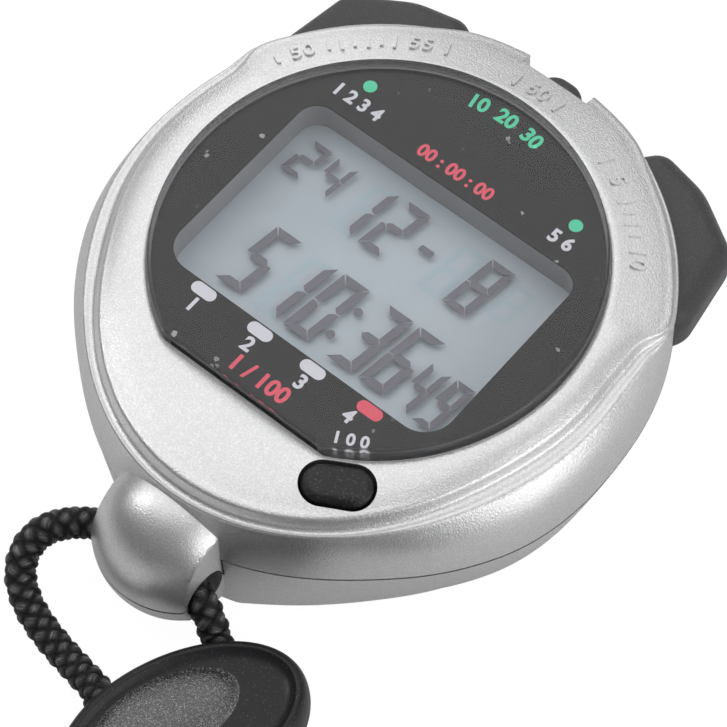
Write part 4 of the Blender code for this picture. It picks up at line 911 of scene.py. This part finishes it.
def back_section(away):
    outside = [(back_radius(away, share), height) for height, share in BACK_LEVELS]
    body = case_radius(away)
    inside = [(body - 2, 10.12), (back_radius(away, 0.6) - 2, 5.1), (back_radius(away, 0.3) - 2, 1.6)]
    return [(0, 0), *smooth_line(outside, 4), *inside, (0, 1.6)]


back_case = piece("case_back", spun_section(back_section), silver_satin, sharp=40)
sound_at = Vector((-11.5, 9.2))
holes = [bar(at, -2, 1.0, 2.2) for at in BOSSES]
holes.append(bar(sound_at, -2, 4, 0.7, 24))
for index in range(6):
    turn = Matrix.Rotation(index * math.pi / 3, 2)
    holes.append(bar(sound_at + turn @ Vector((3.4, 0)), -2, 4, 0.7, 24))
holes.append(block((-6.4, 7.1), (-60, -31.35), (6.72, 20)))
holes.append(cord_tunnel())
carve(back_case, holes, sharp=40)
print("back shell faces:", len(back_case.data.polygons))

# %% [markdown]
# Each screw well is a deep cup that stands up from the floor to meet a post, and a ring holds the buzzer.

# %% Wells and ring inside the back
CUP = ((3.4, 1.0), (3.4, 8.6), (1.2, 8.6), (1.2, 5.0), (2.2, 5.0), (2.2, 1.0), (3.4, 1.0))
cups = [moved(turned(CUP, 40), (*at, 0)) for at in BOSSES]
cups.append(tube(sound_at, 1.0, 2.9, 11.2, 10.3))
wells = piece("back_wells", gathered(cups), silver_satin)
carve(back_case, [bar(at, -2, 1.2, 2.2) for at in BOSSES], sharp=40)
print("wells:", len(cups) - 1)

# %% [markdown]
# ## Plain figures
#
# Numbers stand on the dome and on the print. A text object draws them; it becomes a mesh one millimetre
# thick, which is then laid where it belongs.

# %% Written figures
def written(text, size, weight, spacing=1.0):
    """Figures centred on the origin, from Z 0 to Z 1."""
    writing = bpy.data.curves.new("number", "FONT")
    writing.body = text
    writing.size = 1
    writing.align_x = "CENTER"
    writing.align_y = "CENTER"
    writing.space_character = spacing
    writing.offset = weight
    writing.resolution_u = 6
    made = merged(drawn_from("number", writing), 0.0001)
    bmesh.ops.scale(made, vec=(size, size, 1), verts=made.verts)
    thick = bmesh.ops.extrude_face_region(made, geom=made.faces[:])["geom"]
    lifted = [item for item in thick if isinstance(item, bmesh.types.BMVert)]
    bmesh.ops.translate(made, vec=(0, 0, 1), verts=lifted)
    return made


print("figures ready")

# %% [markdown]
# ## Raised marks
#
# Round the window the mould leaves raised marks: a plain bezel of minutes beside the three buttons, with
# ticks and round numbers whose tops point outwards.

# %% Marks on the dome
MARK_RISE = 0.24


def dome_height(radius, away):
    """The height of the top at a radius."""
    line = smooth_line(outside_knots(away), 6)
    for (inner, high), (outer, low) in zip(line, line[1:]):
        if inner <= radius <= outer:
            return high + (low - high) * (radius - inner) / (outer - inner)
    return line[0][1]


def on_dome(shape, angle, radius, rise):
    """Lays a shape from the plane on the dome, its tops outwards, at an angle from +X."""
    for vert in shape.verts:
        around = angle - math.degrees(vert.co.x / radius)
        reach = radius + vert.co.y
        away = (around + 270) % 360 - 180
        height = dome_height(reach, away) + (rise if vert.co.z > 0.5 else -0.6)
        turn = math.radians(around)
        vert.co = Vector((reach * math.cos(turn), reach * math.sin(turn), height))
    return shape


def tick(angle, radius, length, width=0.4):
    """A raised tick, with softened upper edges."""
    made = block((-width / 2, width / 2), (-length / 2, length / 2), (0, 1))
    soften(made, 0.08, 2, at_height(1))
    return on_dome(made, angle, radius, MARK_RISE)


MINUTE = 3  # degrees from one tick to the next
marks = []
for low, high, radius, numerals in (
    (113, 154, 28.2, {120: "55", 147: "50"}),
    (83, 97, 27.4, {90: "60"}),
    (36, 66, 27.4, {60: "5", 39: "10"}),
):
    for angle, text in numerals.items():
        marks.append(on_dome(written(text, 2.7, 0.012, 1.1), angle, radius, MARK_RISE))
    for step in range(math.ceil(low / MINUTE), high // MINUTE + 1):
        if all(abs(step * MINUTE - angle) > 5 for angle in numerals):
            marks.append(tick(step * MINUTE, radius, 1.9 if step % 2 == 0 else 1.3))
raised_marks = piece("raised_marks", gathered(marks), silver_peel, sharp=40)
print("raised marks:", len(marks))

# %% [markdown]
# ## Buttons
#
# The two side buttons are long rubber pads with rounded rims, the recall button is a small tongue in its
# notch, and the mode button a slot-shaped stud. Each has its root inside the case and slides as one piece.

# %% Side buttons
def side_button(name, mirrored):
    corners = ((26.5, -10.5), (33.9, -10.5), (37.0, -4.6), (38.15, 3.7), (31.1, 11.7), (26.5, 11.7))
    plan = rounded(corners, (0, 2.6, 9.0, 3.2, 3.4, 0), 18)
    low, high = 10.57, 16.6
    cap = plate(plan, low, high)
    for height, width, steps in ((low, 1.3, 6), (high, 2.5, 12)):
        level = at_height(height)
        soften(cap, width, steps, lambda edge: level(edge) and any(v.co.x > 26.6 for v in edge.verts))
    flange = block((25.7, 27.0), (-13.7, 13.0), (10.67, 13.8))
    nub = block((24.9, 26.0), (-6.2, -3.8), (11.4, 13.1))
    shapes = [beside(shape, mirrored) for shape in (cap, flange, nub)]
    return piece(name, gathered(shapes), black_rubber_satin)


start_pad = side_button("start_stop_pad", False)
lap_pad = side_button("lap_reset_pad", True)
print("side buttons:", start_pad.name, lap_pad.name)

# %% Recall and mode buttons
recall_plan = rounded(((-2.85, 27.2), (2.85, 27.2), (2.85, 33.35), (-2.85, 33.35)), (0, 0, 2.4, 2.4), 16)
recall_cap = plate(recall_plan, 10.8, 16.0)
soften(
    recall_cap,
    1.3,
    8,
    lambda edge: abs(edge.verts[0].co.z - edge.verts[1].co.z) < 0.01
    and any(vert.co.y > 27.3 for vert in edge.verts),
)
recall_root = block((-4.6, 4.6), (26.5, 27.8), (10.9, 15.8))
recall_pad = piece("recall_pad", gathered([recall_cap, recall_root]), black_rubber_satin)

MODE_TOP = 20.95
mode_cap = plate(slot_outline(7.6, 4.45, MODE_AT, MODE_TURN, 28), 16.2, MODE_TOP)
soften(mode_cap, 0.9, 9, at_height(MODE_TOP))
mode_flange = plate(slot_outline(9.3, 6.2, MODE_AT, MODE_TURN, 20), 15.7, 16.7)
mode_stem = bar((MODE_AT[0] - 0.9, MODE_AT[1] + 1.47), 13.6, 16.2, 1.2)
mode_pad = piece("mode_pad", gathered([mode_cap, mode_flange, mode_stem]), black_sparkling, sharp=12)
print("mode button top at", MODE_TOP, "mm")

# %% [markdown]
# ## Window
#
# A flat acrylic disc stands a little proud of the dome, with a straight lower edge. The bevel along its rim
# catches the light as a thin pale line.

# %% Window
PANE_RADIUS = 24.48
PANE_TOP = 22.0


def window_outline(radius, chord, count=200):
    """A circle whose lower part is cut off by a straight line at Y = chord."""
    reach = math.degrees(math.asin(-chord / radius))
    return arc((0, 0), radius, -reach, 180 + reach, count)


pane = plate(window_outline(PANE_RADIUS, -21.9), 19.7, PANE_TOP)
soften(pane, 0.35, 6, at_height(PANE_TOP))
window = piece("window_pane", pane, clear_window, sharp=10)
window.visible_shadow = False
print("window across:", 2 * PANE_RADIUS, "mm")

# %% [markdown]
# ## Print under the window
#
# A dark sheet lies under the window, open over the display. A grey rim closes its edge, and a grey lip lines
# the opening down to the display. Its marks are thin films of ink: dots, four pills and plain numbers.

# %% Dark sheet
sheet_outline = window_outline(24.15, -21.5)
sheet_shape = plate(sheet_outline, 19.2, 19.5, (display_opening(0),))
print_sheet = piece("print_sheet", sheet_shape, print_dark, sharp=30)
rim_shape = plate(window_outline(24.55, -21.95), 19.05, 19.4, (sheet_outline,))
print_rim = piece("print_rim", rim_shape, rim_grey, sharp=30)
lip_shape = plate(display_opening(0.62), 15.3, 19.18, (display_opening(0.02),))
display_lip = piece("display_lip", lip_shape, lip_grey, sharp=30)
print("sheet faces:", len(print_sheet.data.polygons))

# %% Marks in ink
INK = (19.5, 19.53)  # the lower and upper side of the film


def number(text, size, at, degrees=0.0, spacing=1.0):
    """Plain figures, centred on a point, as a thin film."""
    made = written(text, size, 0.035, spacing)
    bmesh.ops.scale(made, vec=(1, 1, INK[1] - INK[0]), verts=made.verts)
    turn = Matrix.Rotation(math.radians(degrees), 3, "Z")
    bmesh.ops.rotate(made, cent=(0, 0, 0), matrix=turn, verts=made.verts)
    return moved(made, (*at, INK[0]))


def film(outline):
    return plate(outline, *INK)


white = [
    number("1 2 3 4", 2.3, (-14.4, 13.75)),
    number("5 6", 2.3, (13.7, 13.75)),
    number("1", 2.4, (-11.4, -16.9)),
    number("2", 2.4, (-3.7, -16.9)),
    number("3", 2.4, (3.5, -16.9)),
    number("4", 2.3, (9.9, -16.8)),
    number("1 0 0", 1.9, (11.9, -18.8), 27),
]
white += [film(slot_outline(3.1, 1.45, (x, -14.9), 0)) for x in (-11.5, -3.7, 3.5)]
white_marks = piece("white_marks", gathered(white), mark_white, sharp=30)

green = [film(arc((x, 16.2), 0.78, 0, 360, 40)[:-1]) for x in (-14.6, 13.8)]
for text, turn in (("10", 9.5), ("20", 0), ("30", -9.5)):
    spot = Matrix.Rotation(math.radians(turn), 2) @ Vector((0, 22.2))
    green.append(number(text, 2.5, (spot.x - 0.4, spot.y), turn))
green_marks = piece("green_marks", gathered(green), mark_green, sharp=30)

red = [
    number("00 : 00 : 00", 2.2, (-0.4, 13.35)),
    number("1 / 100", 2.7, (-0.1, -19.3)),
    film(slot_outline(3.1, 1.45, (11.2, -14.9), 0)),
]
red_marks = piece("red_marks", gathered(red), mark_red, sharp=30)
print("marks:", len(white), "white,", len(green), "green,", len(red), "red")

# %% [markdown]
# ## Display
#
# A display of this kind is a grey reflector behind two sheets of glass. Its dark figures float a little
# above the reflector, so each throws a soft shadow, and the figures that are off still show faintly.

# %% Figures of seven bars
BARS = {"0": "abcdef", "1": "bc", "2": "abged", "3": "abgcd", "4": "fgbc", "5": "afgcd"}
BARS |= {"6": "afgedc", "7": "abc", "8": "abcdefg", "9": "abcdfg"}
FIGURE = (15.84, 15.88)  # lower and upper side of the bars that are on
GHOST = (15.205, 15.225)  # of those that are off, drawn on the reflector
SHIFT = (-1.2, 1.45)  # of the whole reading, to its place in the display


def bars_of(width, height, thick, gap=0.1):
    """The seven bars of a figure as outlines, before it leans."""
    mid = height / 2
    half = thick / 2
    upper = ((0, height - gap), (thick, height - gap - thick), (thick, mid + half), (half, mid + gap))
    upper += ((0, mid + gap),)
    lower = tuple((x, height - y) for x, y in reversed(upper))
    top = ((gap, height), (thick + gap, height - thick))
    top += ((width - thick - gap, height - thick), (width - gap, height))
    middle = (
        (half + gap, mid),
        (thick + gap * 0.6, mid + half),
        (width - thick - gap * 0.6, mid + half),
        (width - half - gap, mid),
        (width - thick - gap * 0.6, mid - half),
        (thick + gap * 0.6, mid - half),
    )
    return {
        "a": top,
        "d": tuple((x, height - y) for x, y in reversed(top)),
        "f": upper,
        "e": lower,
        "b": tuple((width - x, y) for x, y in reversed(upper)),
        "c": tuple((width - x, y) for x, y in reversed(lower)),
        "g": middle,
    }


def figure(shown, at, width, height, thick, lean=0.14):
    """(bars that are on, bars that show faintly) of one figure."""
    on, off = [], []
    for label, outline in bars_of(width, height, thick).items():
        leaning = [(at[0] + SHIFT[0] + x + lean * y, at[1] + SHIFT[1] + y) for x, y in outline]
        if label in BARS.get(shown, ""):
            on.append(plate(leaning, *FIGURE))
        elif shown in " 1":
            off.append(plate(leaning, *GHOST))
    return on, off


print("bars in an eight:", len(bars_of(3, 8, 1)))

# %% Reading on the display
# ((width, height, thickness), Y of the row, its figures by their X); a blank and a 1 show their other bars
READING = (
    ((2.7, 5.0, 0.62), 2.3, {-15.9: "2", -12.2: "4", 12.4: " "}),
    ((3.2, 7.4, 0.85), 0.3, {-7.6: "1", -3.3: "2", 4.6: " ", 8.3: "8"}),
    ((3.5, 8.9, 1.0), -12.5, {-12.3: "5", -7.3: "1", -2.9: "0", 3.1: "3", 7.4: "6"}),
    ((2.5, 6.6, 0.72), -12.7, {11.6: "4", 14.8: "9"}),
)
lit, unlit = [], []
for size, y, row in READING:
    for x, shown in row.items():
        on, off = figure(shown, (x, y), *size)
        lit += on
        unlit += off
lit.append(plate(rounded(((1.1, 5.05), (2.9, 5.05), (3.0, 5.85), (1.2, 5.85)), (0.2,) * 4, 4), *FIGURE))
lit += [plate(arc(spot, 0.52, 0, 360, 28)[:-1], *FIGURE) for spot in ((1.25, -4.95), (0.7, -8.85))]
figures = piece("display_figures", gathered(lit), figure_dark, sharp=30)
ghosts = piece("display_ghosts", gathered(unlit), figure_faint, sharp=30)
reflector = piece(
    "display_reflector_sheet",
    block((-20, 20), (-15.3, 12.6), (13.7, 15.21)),
    display_reflector,
)
print("bars on:", len(lit), "bars off:", len(unlit))

# %% [markdown]
# ## Which body each piece belongs to
#
# The case carries everything except the four buttons, which slide in it. A dressed piece takes the place of
# the solid part it was made for, and the solids without one keep their own shape.

# %% Pieces on the case and the buttons
for solid, dressing in {
    "front_shell": (front, front_posts, front_lug, raised_marks),
    "back_shell": (back_case, wells, back_lug),
    "lens": (window,),
    "dial_mask": (print_sheet, print_rim, display_lip, white_marks, green_marks, red_marks),
    "lcd_glass": (reflector, figures, ghosts),
}.items():
    for made in dressing:
        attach(made, "case")
        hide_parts(solid)
for made, solid in (
    (start_pad, "start_stop_button"),
    (lap_pad, "lap_reset_button"),
    (recall_pad, "recall_button"),
    (mode_pad, "mode_button"),
):
    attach(made, solid)
    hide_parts(solid)
print("pieces placed on their bodies")

# %% [markdown]
# ## Clasp
#
# Two oval shells close on the ends of the cord. The upper one has a raised rim, a hollow ring and a pebbled
# pad for the thumb. An oval is a round body whose two directions are scaled apart, so it is spun first.

# %% The clasp's own frame
CORD = 3.5
CLASP_AT = Vector((14.9, -49.7, 0))
CLASP_TURN = math.radians(66.7)
CLASP_U = Vector((math.cos(CLASP_TURN), math.sin(CLASP_TURN), 0))
CLASP_V = Vector((CLASP_U.y, -CLASP_U.x, 0))
BORE_U = 6.8
BORE_Z = 3.6


def clasp_point(u, v, z):
    """u along the clasp, v across it and away from the watch."""
    return CLASP_AT + CLASP_U * u + CLASP_V * v + Vector((0, 0, z))


def oval_body(levels, half, shift=(0.0, 0.0)):
    """A closed oval whose rows are (inset, height), from its middle below to its middle above."""
    rows = [(0, levels[0][1]), *((10, z) for _, z in levels), (0, levels[-1][1])]
    made = spun_section(lambda away: [(near, row) for row, (near, _) in enumerate(rows)], 180)
    for vert in made.verts:
        row = min(max(round(vert.co.z) - 1, 0), len(levels) - 1)
        inset, height = levels[row]
        along = vert.co.x / 10 * (half[0] - inset)
        across = vert.co.y / 10 * (half[1] - inset)
        vert.co = clasp_point(along + shift[0], across + shift[1], height)
    return made


def clasp_bore(side):
    line = ((0, 9.6), (3.24, 9.6), (2.05, 4.6), (2.05, -4.6), (3.24, -9.6), (0, -9.6))
    return laid(turned(line, 64), CLASP_V, clasp_point(side * BORE_U, 0, BORE_Z))


print("clasp middle:", clasp_point(0, 0, 0))

# %% Clasp halves
upper_knots = [(0, 3.7), (0.02, 4.3), (0.08, 5.0), (0.3, 6.05), (0.62, 6.75), (1.0, 7.08), (1.35, 7.1)]
upper_knots += [(1.62, 6.86), (2.1, 6.5), (3.0, 6.25), (4.2, 6.18), (6.0, 6.2), (8.1, 6.2)]
lower_knots = [(2.3, 0.03), (1.7, 0.08), (1.1, 0.35), (0.5, 1.1), (0.1, 2.3), (0, 3.5)]
CLASP_HALF = (13.95, 8.6)
clasp_upper = piece("clasp_upper", oval_body(smooth_line(upper_knots, 3), CLASP_HALF), clasp_smooth, sharp=40)
clasp_lower = piece("clasp_lower", oval_body(smooth_line(lower_knots, 3), CLASP_HALF), clasp_smooth, sharp=40)
for half in (clasp_upper, clasp_lower):
    carve(half, [clasp_bore(-1), clasp_bore(1)], sharp=40)
pad_knots = [(0.5, 5.9), (0.0, 6.12), (0.35, 6.24), (0.75, 6.45), (1.2, 6.75), (1.8, 7.0), (2.7, 7.18)]
pad_knots += [(3.6, 7.24), (4.55, 7.25)]
pad_shape = oval_body(smooth_line(pad_knots, 3), (8.4, 4.7), (-1.0, -2.0))
clasp_pad = piece("clasp_pad", pad_shape, clasp_pebbled, sharp=60)
for made, solid in ((clasp_upper, "clasp_top"), (clasp_pad, "clasp_top"), (clasp_lower, "clasp_bottom")):
    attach(made, "case")
    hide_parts(solid)
print("clasp faces:", len(clasp_upper.data.polygons) + len(clasp_lower.data.polygons))

# %% [markdown]
# ## Cord
#
# The cord is a round braid of eight strands, four one way round and four the other, each passing over one
# and under one. A smooth tube with a bump would look like rubber, so the strands are real relief: a fine
# grid is rolled into a tube along the route, and each point rises by the height of the strand on top.

# %% Route helpers
def distances(points):
    """How far along the line through the points each of them lies."""
    found = [0.0]
    for first, second in zip(points, points[1:]):
        found.append(found[-1] + (second - first).length)
    return found


def route_length(points):
    return distances(points)[-1]


def smooth_route(knots, spacing):
    """Evenly spaced points on one smooth curve through the knots."""
    knots = [Vector(knot) for knot in knots]
    ends = [knots[0] * 2 - knots[1], *knots, knots[-1] * 2 - knots[-2]]
    dense = []
    for four in zip(ends, ends[1:], ends[2:], ends[3:]):
        for step in range(24):
            dense.append(Vector([curve_through(side, step / 24) for side in zip(*four)]))
    dense.append(knots[-1])
    lengths = distances(dense)
    count = max(round(lengths[-1] / spacing), 1)
    found = []
    index = 0
    for step in range(count + 1):
        target = lengths[-1] * step / count
        while index < len(dense) - 2 and lengths[index + 1] < target:
            index += 1
        span = lengths[index + 1] - lengths[index]
        found.append(dense[index].lerp(dense[index + 1], (target - lengths[index]) / span if span else 0))
    return found


print("cord across:", CORD, "mm")

# %% [markdown]
# The seen stretch leaves the clasp, lies along the table, climbs round to the lug, passes through it and
# drops back into the clasp. Its knots were read off the photograph and lifted to their heights.

# %% Route of the lug cord
lug_knots = [
    clasp_point(-BORE_U, -0.2, BORE_Z),
    clasp_point(-BORE_U, -3.6, BORE_Z),
    clasp_point(-6.3, -6.6, 3.5),
    (4.4, -51.5, 3.2),
    (1.4, -50.8, 2.4),
    (-2.2, -50.15, 2.05),
    (-5.4, -49.5, 2.4),
    (-8.4, -48.5, 3.3),
    (-10.6, -46.9, 4.6),
    (-11.5, -44.7, 5.9),
    (-11.1, -42.3, 6.8),
    (-9.5, -40.1, 7.15),
    (-7.3, -38.35, 7.1),
    (-5.0, -37.25, 6.95),
    (-2.6, -37.0, 6.8),
    (0.0, -37.0, 6.8),
    (2.6, -37.0, 6.8),
    (5.0, -37.1, 6.65),
    (7.1, -37.7, 6.1),
    (8.8, -38.5, 5.0),
    clasp_point(7.7, -8.4, 3.9),
    clasp_point(7.1, -5.2, 3.6),
    clasp_point(BORE_U, -3.0, BORE_Z),
    clasp_point(BORE_U, -0.2, BORE_Z),
]
lug_path = smooth_route(lug_knots, 0.13)
print(f"lug cord: {route_length(lug_path):.1f} mm")

# %% [markdown]
# The rest of the neck loop leaves the clasp on its far side, where the photograph ends. It is put away in a
# flat coil: in along a lower layer, out along an upper one, with both ends going back to the clasp.

# %% Route of the neck cord
COIL_OUTER = 25.0
COIL_PITCH = 4.0
COIL_TURNS = 3.0
COIL_LAYER = 4.0
COIL_DIP = 1.2
COIL_OUT = 31.0
CLASP_SIDE = 8.6
TIE_THICK = 0.5
TIE_LIFT_ANGLE = 50.0
LOW = CORD / 2 + 0.1
COIL_V = CLASP_SIDE + COIL_OUT


def coil_point(travel):
    """A point of the wound cord, after this many turns."""
    climb_from = COIL_TURNS
    climb_to = COIL_TURNS + 0.5
    inner = COIL_OUTER - COIL_PITCH * COIL_TURNS
    if travel <= climb_from:
        radius = COIL_OUTER - COIL_PITCH * travel
    elif travel >= climb_to:
        radius = inner + COIL_PITCH * (travel - climb_to)
    else:
        radius = inner - COIL_DIP * math.sin(2 * math.pi * (travel - climb_from))
    angle = math.pi - 2 * math.pi * travel
    from_tie = abs((math.degrees(angle) - 270 + 180) % 360 - 180)
    lift = TIE_THICK + 0.3 if from_tie < TIE_LIFT_ANGLE else 0
    lift *= 0.5 + 0.5 * math.cos(math.pi * min(from_tie / TIE_LIFT_ANGLE, 1))
    height = LOW + COIL_LAYER * smooth_step(travel, climb_from, climb_to) + lift
    return clasp_point(radius * math.cos(angle), COIL_V + radius * math.sin(angle), height)


def lead_point(u, share, rise):
    return clasp_point(u, CLASP_SIDE + share * COIL_OUT, LOW + rise)


lead_out = [clasp_point(-BORE_U, v, BORE_Z) for v in (0.2, 4.0, 8.0)]
outward = ((-7.6, 0.10, 1.15), (-10.6, 0.23, 0.3), (-16.0, 0.35, 0), (-20.6, 0.52, 0), (-23.9, 0.72, 0))
lead_out += [lead_point(*spot) for spot in outward]
homeward = ((24.4, 0.72, 3.2), (22.2, 0.51, 1.8), (18.0, 0.335, 1.0), (12.8, 0.21, 0.1), (8.4, 0.10, 0.75))
lead_back = [lead_point(*spot) for spot in homeward]
lead_back += [clasp_point(BORE_U, v, BORE_Z) for v in (8.0, 4.0, 0.2)]
turns = 2 * COIL_TURNS + 0.5
coil = [coil_point(turns * index / 156) for index in range(157)]
neck_path = smooth_route(lead_out + coil + lead_back, 0.32)
print(f"neck cord: {route_length(neck_path):.1f} mm")

# %% [markdown]
# Along the route each ring of the tube needs its own two directions. Turning the last pair by no more than
# the route itself turns keeps the braid from twisting.

# %% Directions along a route
def route_frames(points):
    """(point, side, over) for each point, turned as little as the route allows."""
    frames = []
    side = Vector((0, 0, 1)).cross(points[1] - points[0]).normalized()
    for index, point in enumerate(points):
        before = points[max(index - 1, 0)]
        after = points[min(index + 1, len(points) - 1)]
        along = (after - before).normalized()
        side = (side - along * side.dot(along)).normalized()
        frames.append((point, side, along.cross(side)))
    return frames


print("frames on the lug cord:", len(route_frames(lug_path)))

# %% [markdown]
# Unrolled, the braid is a slanted chequer. Strands of one family keep the difference of the two coordinates,
# and those of the other keep their sum. Where two cross, they take turns to be on top.

# %% Height of the braid
STRANDS = 4
PICK = 1.9  # mm along the cord from one crossing of a strand to its next
RELIEF = 0.75


def braid_at(round_share, along_mm):
    """(height from 0 to 1, family) of the strand on top, on the unrolled cord."""
    u = round_share * STRANDS
    v = along_mm / PICK
    best = None
    for family, lie, cross, sign in ((0, u - v, u + v, 1), (1, u + v, u - v, -1)):
        strand = round(lie)
        across = 2 * (lie - strand)
        over = sign * math.cos(math.pi * (cross - strand))
        crown = math.sqrt(max(1 - across * across, 0))
        height = crown * (0.66 + 0.34 * over)
        if best is None or height > best[0]:
            best = (height, family)
    return best


print("crown of a strand:", braid_at(0, 0))

# %% Roll a braided tube
def braided_cord(name, points, around, look):
    """A closed tube along the points with the braid's strands as relief."""
    frames = route_frames(points)
    lengths = distances(points)
    rows = len(points) - 1
    shape = bmesh.new()
    bmesh.ops.create_grid(shape, x_segments=around, y_segments=rows, size=0.5)
    map_layer = shape.loops.layers.uv.new("strand")
    for face in shape.faces:
        middle = face.calc_center_median()
        row = (middle.y + 0.5) * rows
        near = min(int(row), rows - 1)
        travelled = lengths[near] + (lengths[near + 1] - lengths[near]) * (row - near)
        family = braid_at(middle.x + 0.5, travelled)[1]
        for loop in face.loops:
            here = lengths[round((loop.vert.co.y + 0.5) * rows)]
            u = (loop.vert.co.x + 0.5) * STRANDS
            v = here / PICK
            lie, cross = (u - v, u + v) if family == 0 else (u + v, u - v + 1)
            loop[map_layer].uv = (cross * PICK, lie * PICK)
    for vert in shape.verts:
        row = round((vert.co.y + 0.5) * rows)
        share = (vert.co.x + 0.5) % 1.0
        height = braid_at(share, lengths[row])[0]
        radius = CORD / 2 + 0.08 - RELIEF * (1 - height)
        point, side, over = frames[row]
        angle = 2 * math.pi * share
        vert.co = placed(point + side * radius * math.cos(angle) + over * radius * math.sin(angle))
    merged(shape, 1e-7)
    bmesh.ops.holes_fill(shape, edges=[edge for edge in shape.edges if edge.is_boundary], sides=0)
    mesh = mesh_of(name, facing_out(shape))
    mesh.materials.append(look)
    mesh.shade_smooth()
    return in_scene(name, mesh)


print("braid tool ready")

# %% [markdown]
# Each strand is a bundle of black polyester filaments that lie side by side and shine along their length. A
# noise stretched along the strand's own map draws them as fine lines. Where a strand lies on top, the middle
# of each pick is painted paler, a painted highlight for the shine of its filaments, and is made less rough,
# so the map also tells the middle of each pick from its ends.

# %% Braid finish and cords
def braid_finish():
    made = Finish("braid_black", (0.012, 0.012, 0.013), 0.38)
    tree = made.tree
    chart = tree.nodes.new("ShaderNodeUVMap")
    chart.uv_map = "strand"
    along_strand = chart.outputs["UV"]
    stretch = node(tree, "Mapping", {"Vector": along_strand, "Scale": (0.5, 9.0, 1.0)})
    drawn = {"Vector": stretch.outputs["Vector"], "Scale": 1.0, "Detail": 2.0}
    lines = remap(tree, node(tree, "TexNoise", drawn).outputs["Fac"], 0.38, 0.62)
    apart = node(tree, "SeparateXYZ", {"Vector": along_strand})
    cross = maths(tree, "DIVIDE", apart.outputs["X"], PICK)
    lie = maths(tree, "DIVIDE", apart.outputs["Y"], PICK)
    strand = maths(tree, "ROUND", lie)
    off_middle = maths(tree, "ABSOLUTE", maths(tree, "SUBTRACT", lie, strand))
    turn = maths(tree, "MULTIPLY", maths(tree, "SUBTRACT", cross, strand), math.pi)
    crown = remap(tree, off_middle, 0.38, 0.05)
    pick = remap(tree, maths(tree, "COSINE", turn), 0.25, 0.95)
    crown_sheen = maths(tree, "MULTIPLY", crown, pick)
    shine = maths(tree, "MULTIPLY", crown_sheen, maths(tree, "MAXIMUM", lines, 0.25))
    # Painted highlight: the crowns of the picks on top are painted paler, standing in for the filaments'
    # shine.
    made.colour_by(shine, (0.005, 0.005, 0.006), (0.24, 0.24, 0.25))
    made.roughness_by(crown_sheen, 0.5, 0.2)
    made.relief_by((lines, 0.00008))
    return made.material


braid_black = braid_finish()
lug_braid = braided_cord("lug_braid", lug_path, 72, braid_black)
neck_braid = braided_cord("neck_braid", neck_path, 32, braid_black)
print("braid faces:", len(lug_braid.data.polygons), len(neck_braid.data.polygons))

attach(lug_braid, "case")
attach(neck_braid, "case")
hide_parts("lug_cord")
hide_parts("neck_cord")
print("cords declared")

# %% [markdown]
# ## Floor and light
#
# The photograph was taken on white under soft studio light. To the camera the floor mostly glows, so that it
# stays white, and the rest of its shade still darkens where the watch keeps the light off it. The room is
# darker near its horizon, as a studio is, and that gives the silver its soft dark bands.

# %% Floor
floor_shape = bmesh.new()
bmesh.ops.create_grid(floor_shape, x_segments=1, y_segments=1, size=3)
floor = in_scene("floor", mesh_of("floor", moved(floor_shape, (0, 0, -0.0002))))
floor_look = bpy.data.materials.new("floor_white")
floor_look.use_nodes = True
tree = floor_look.node_tree
paper = tree.nodes["Principled BSDF"]
plug(tree, paper, {"Base Color": (0.66, 0.66, 0.66, 1), "Roughness": 0.9})
glow = node(tree, "Emission", {"Strength": 1.1})
ray = tree.nodes.new("ShaderNodeLightPath").outputs
seen = maths(tree, "MAXIMUM", ray["Is Camera Ray"], ray["Is Transmission Ray"])
reflected = maths(tree, "MULTIPLY", ray["Is Glossy Ray"], 0.14)
share = maths(tree, "MULTIPLY_ADD", seen, 0.88, reflected)
both = node(tree, "MixShader", {"Fac": share, 1: paper.outputs["BSDF"], 2: glow.outputs["Emission"]})
plug(tree, tree.nodes["Material Output"], {"Surface": both.outputs["Shader"]})
floor.data.materials.append(floor_look)
print("floor ready")

# %% Lamps
world = bpy.data.worlds.new("studio")
world.use_nodes = True
tree = world.node_tree
towards = tree.nodes.new("ShaderNodeTexCoord").outputs["Generated"]
apart = node(tree, "SeparateXYZ", {"Vector": towards})
by_height = remap(tree, apart.outputs["Z"], 0.0, 0.6, 0.12, 0.45)
by_side = remap(tree, apart.outputs["Y"], -0.8, 0.2, 0.45, 1.0)
sky = {"Color": (1, 1, 1, 1), "Strength": maths(tree, "MULTIPLY", by_height, by_side)}
plug(tree, tree.nodes["Background"], sky)
bpy.context.scene.world = world
LIT_POINT = Vector((0, 0, 0.01))


def soft_lamp(name, at, size, power):
    """A square area lamp that faces the watch."""
    light = bpy.data.lights.new(name, "AREA")
    light.size = size
    light.energy = power
    made = in_scene(name, light)
    made.location = at
    made.rotation_euler = (LIT_POINT - Vector(at)).to_track_quat("-Z", "Y").to_euler()


soft_lamp("overhead", (-0.25, 0.3, 1.0), 1.6, 6.3)
soft_lamp("left", (-0.66, -0.22, 0.66), 0.22, 0.85)
soft_lamp("behind", (-0.62, 0.55, 0.32), 0.4, 0.56)
soft_lamp("right", (0.8, 0.05, 0.28), 0.7, 2.7)
bpy.context.scene.view_settings.view_transform = "Standard"
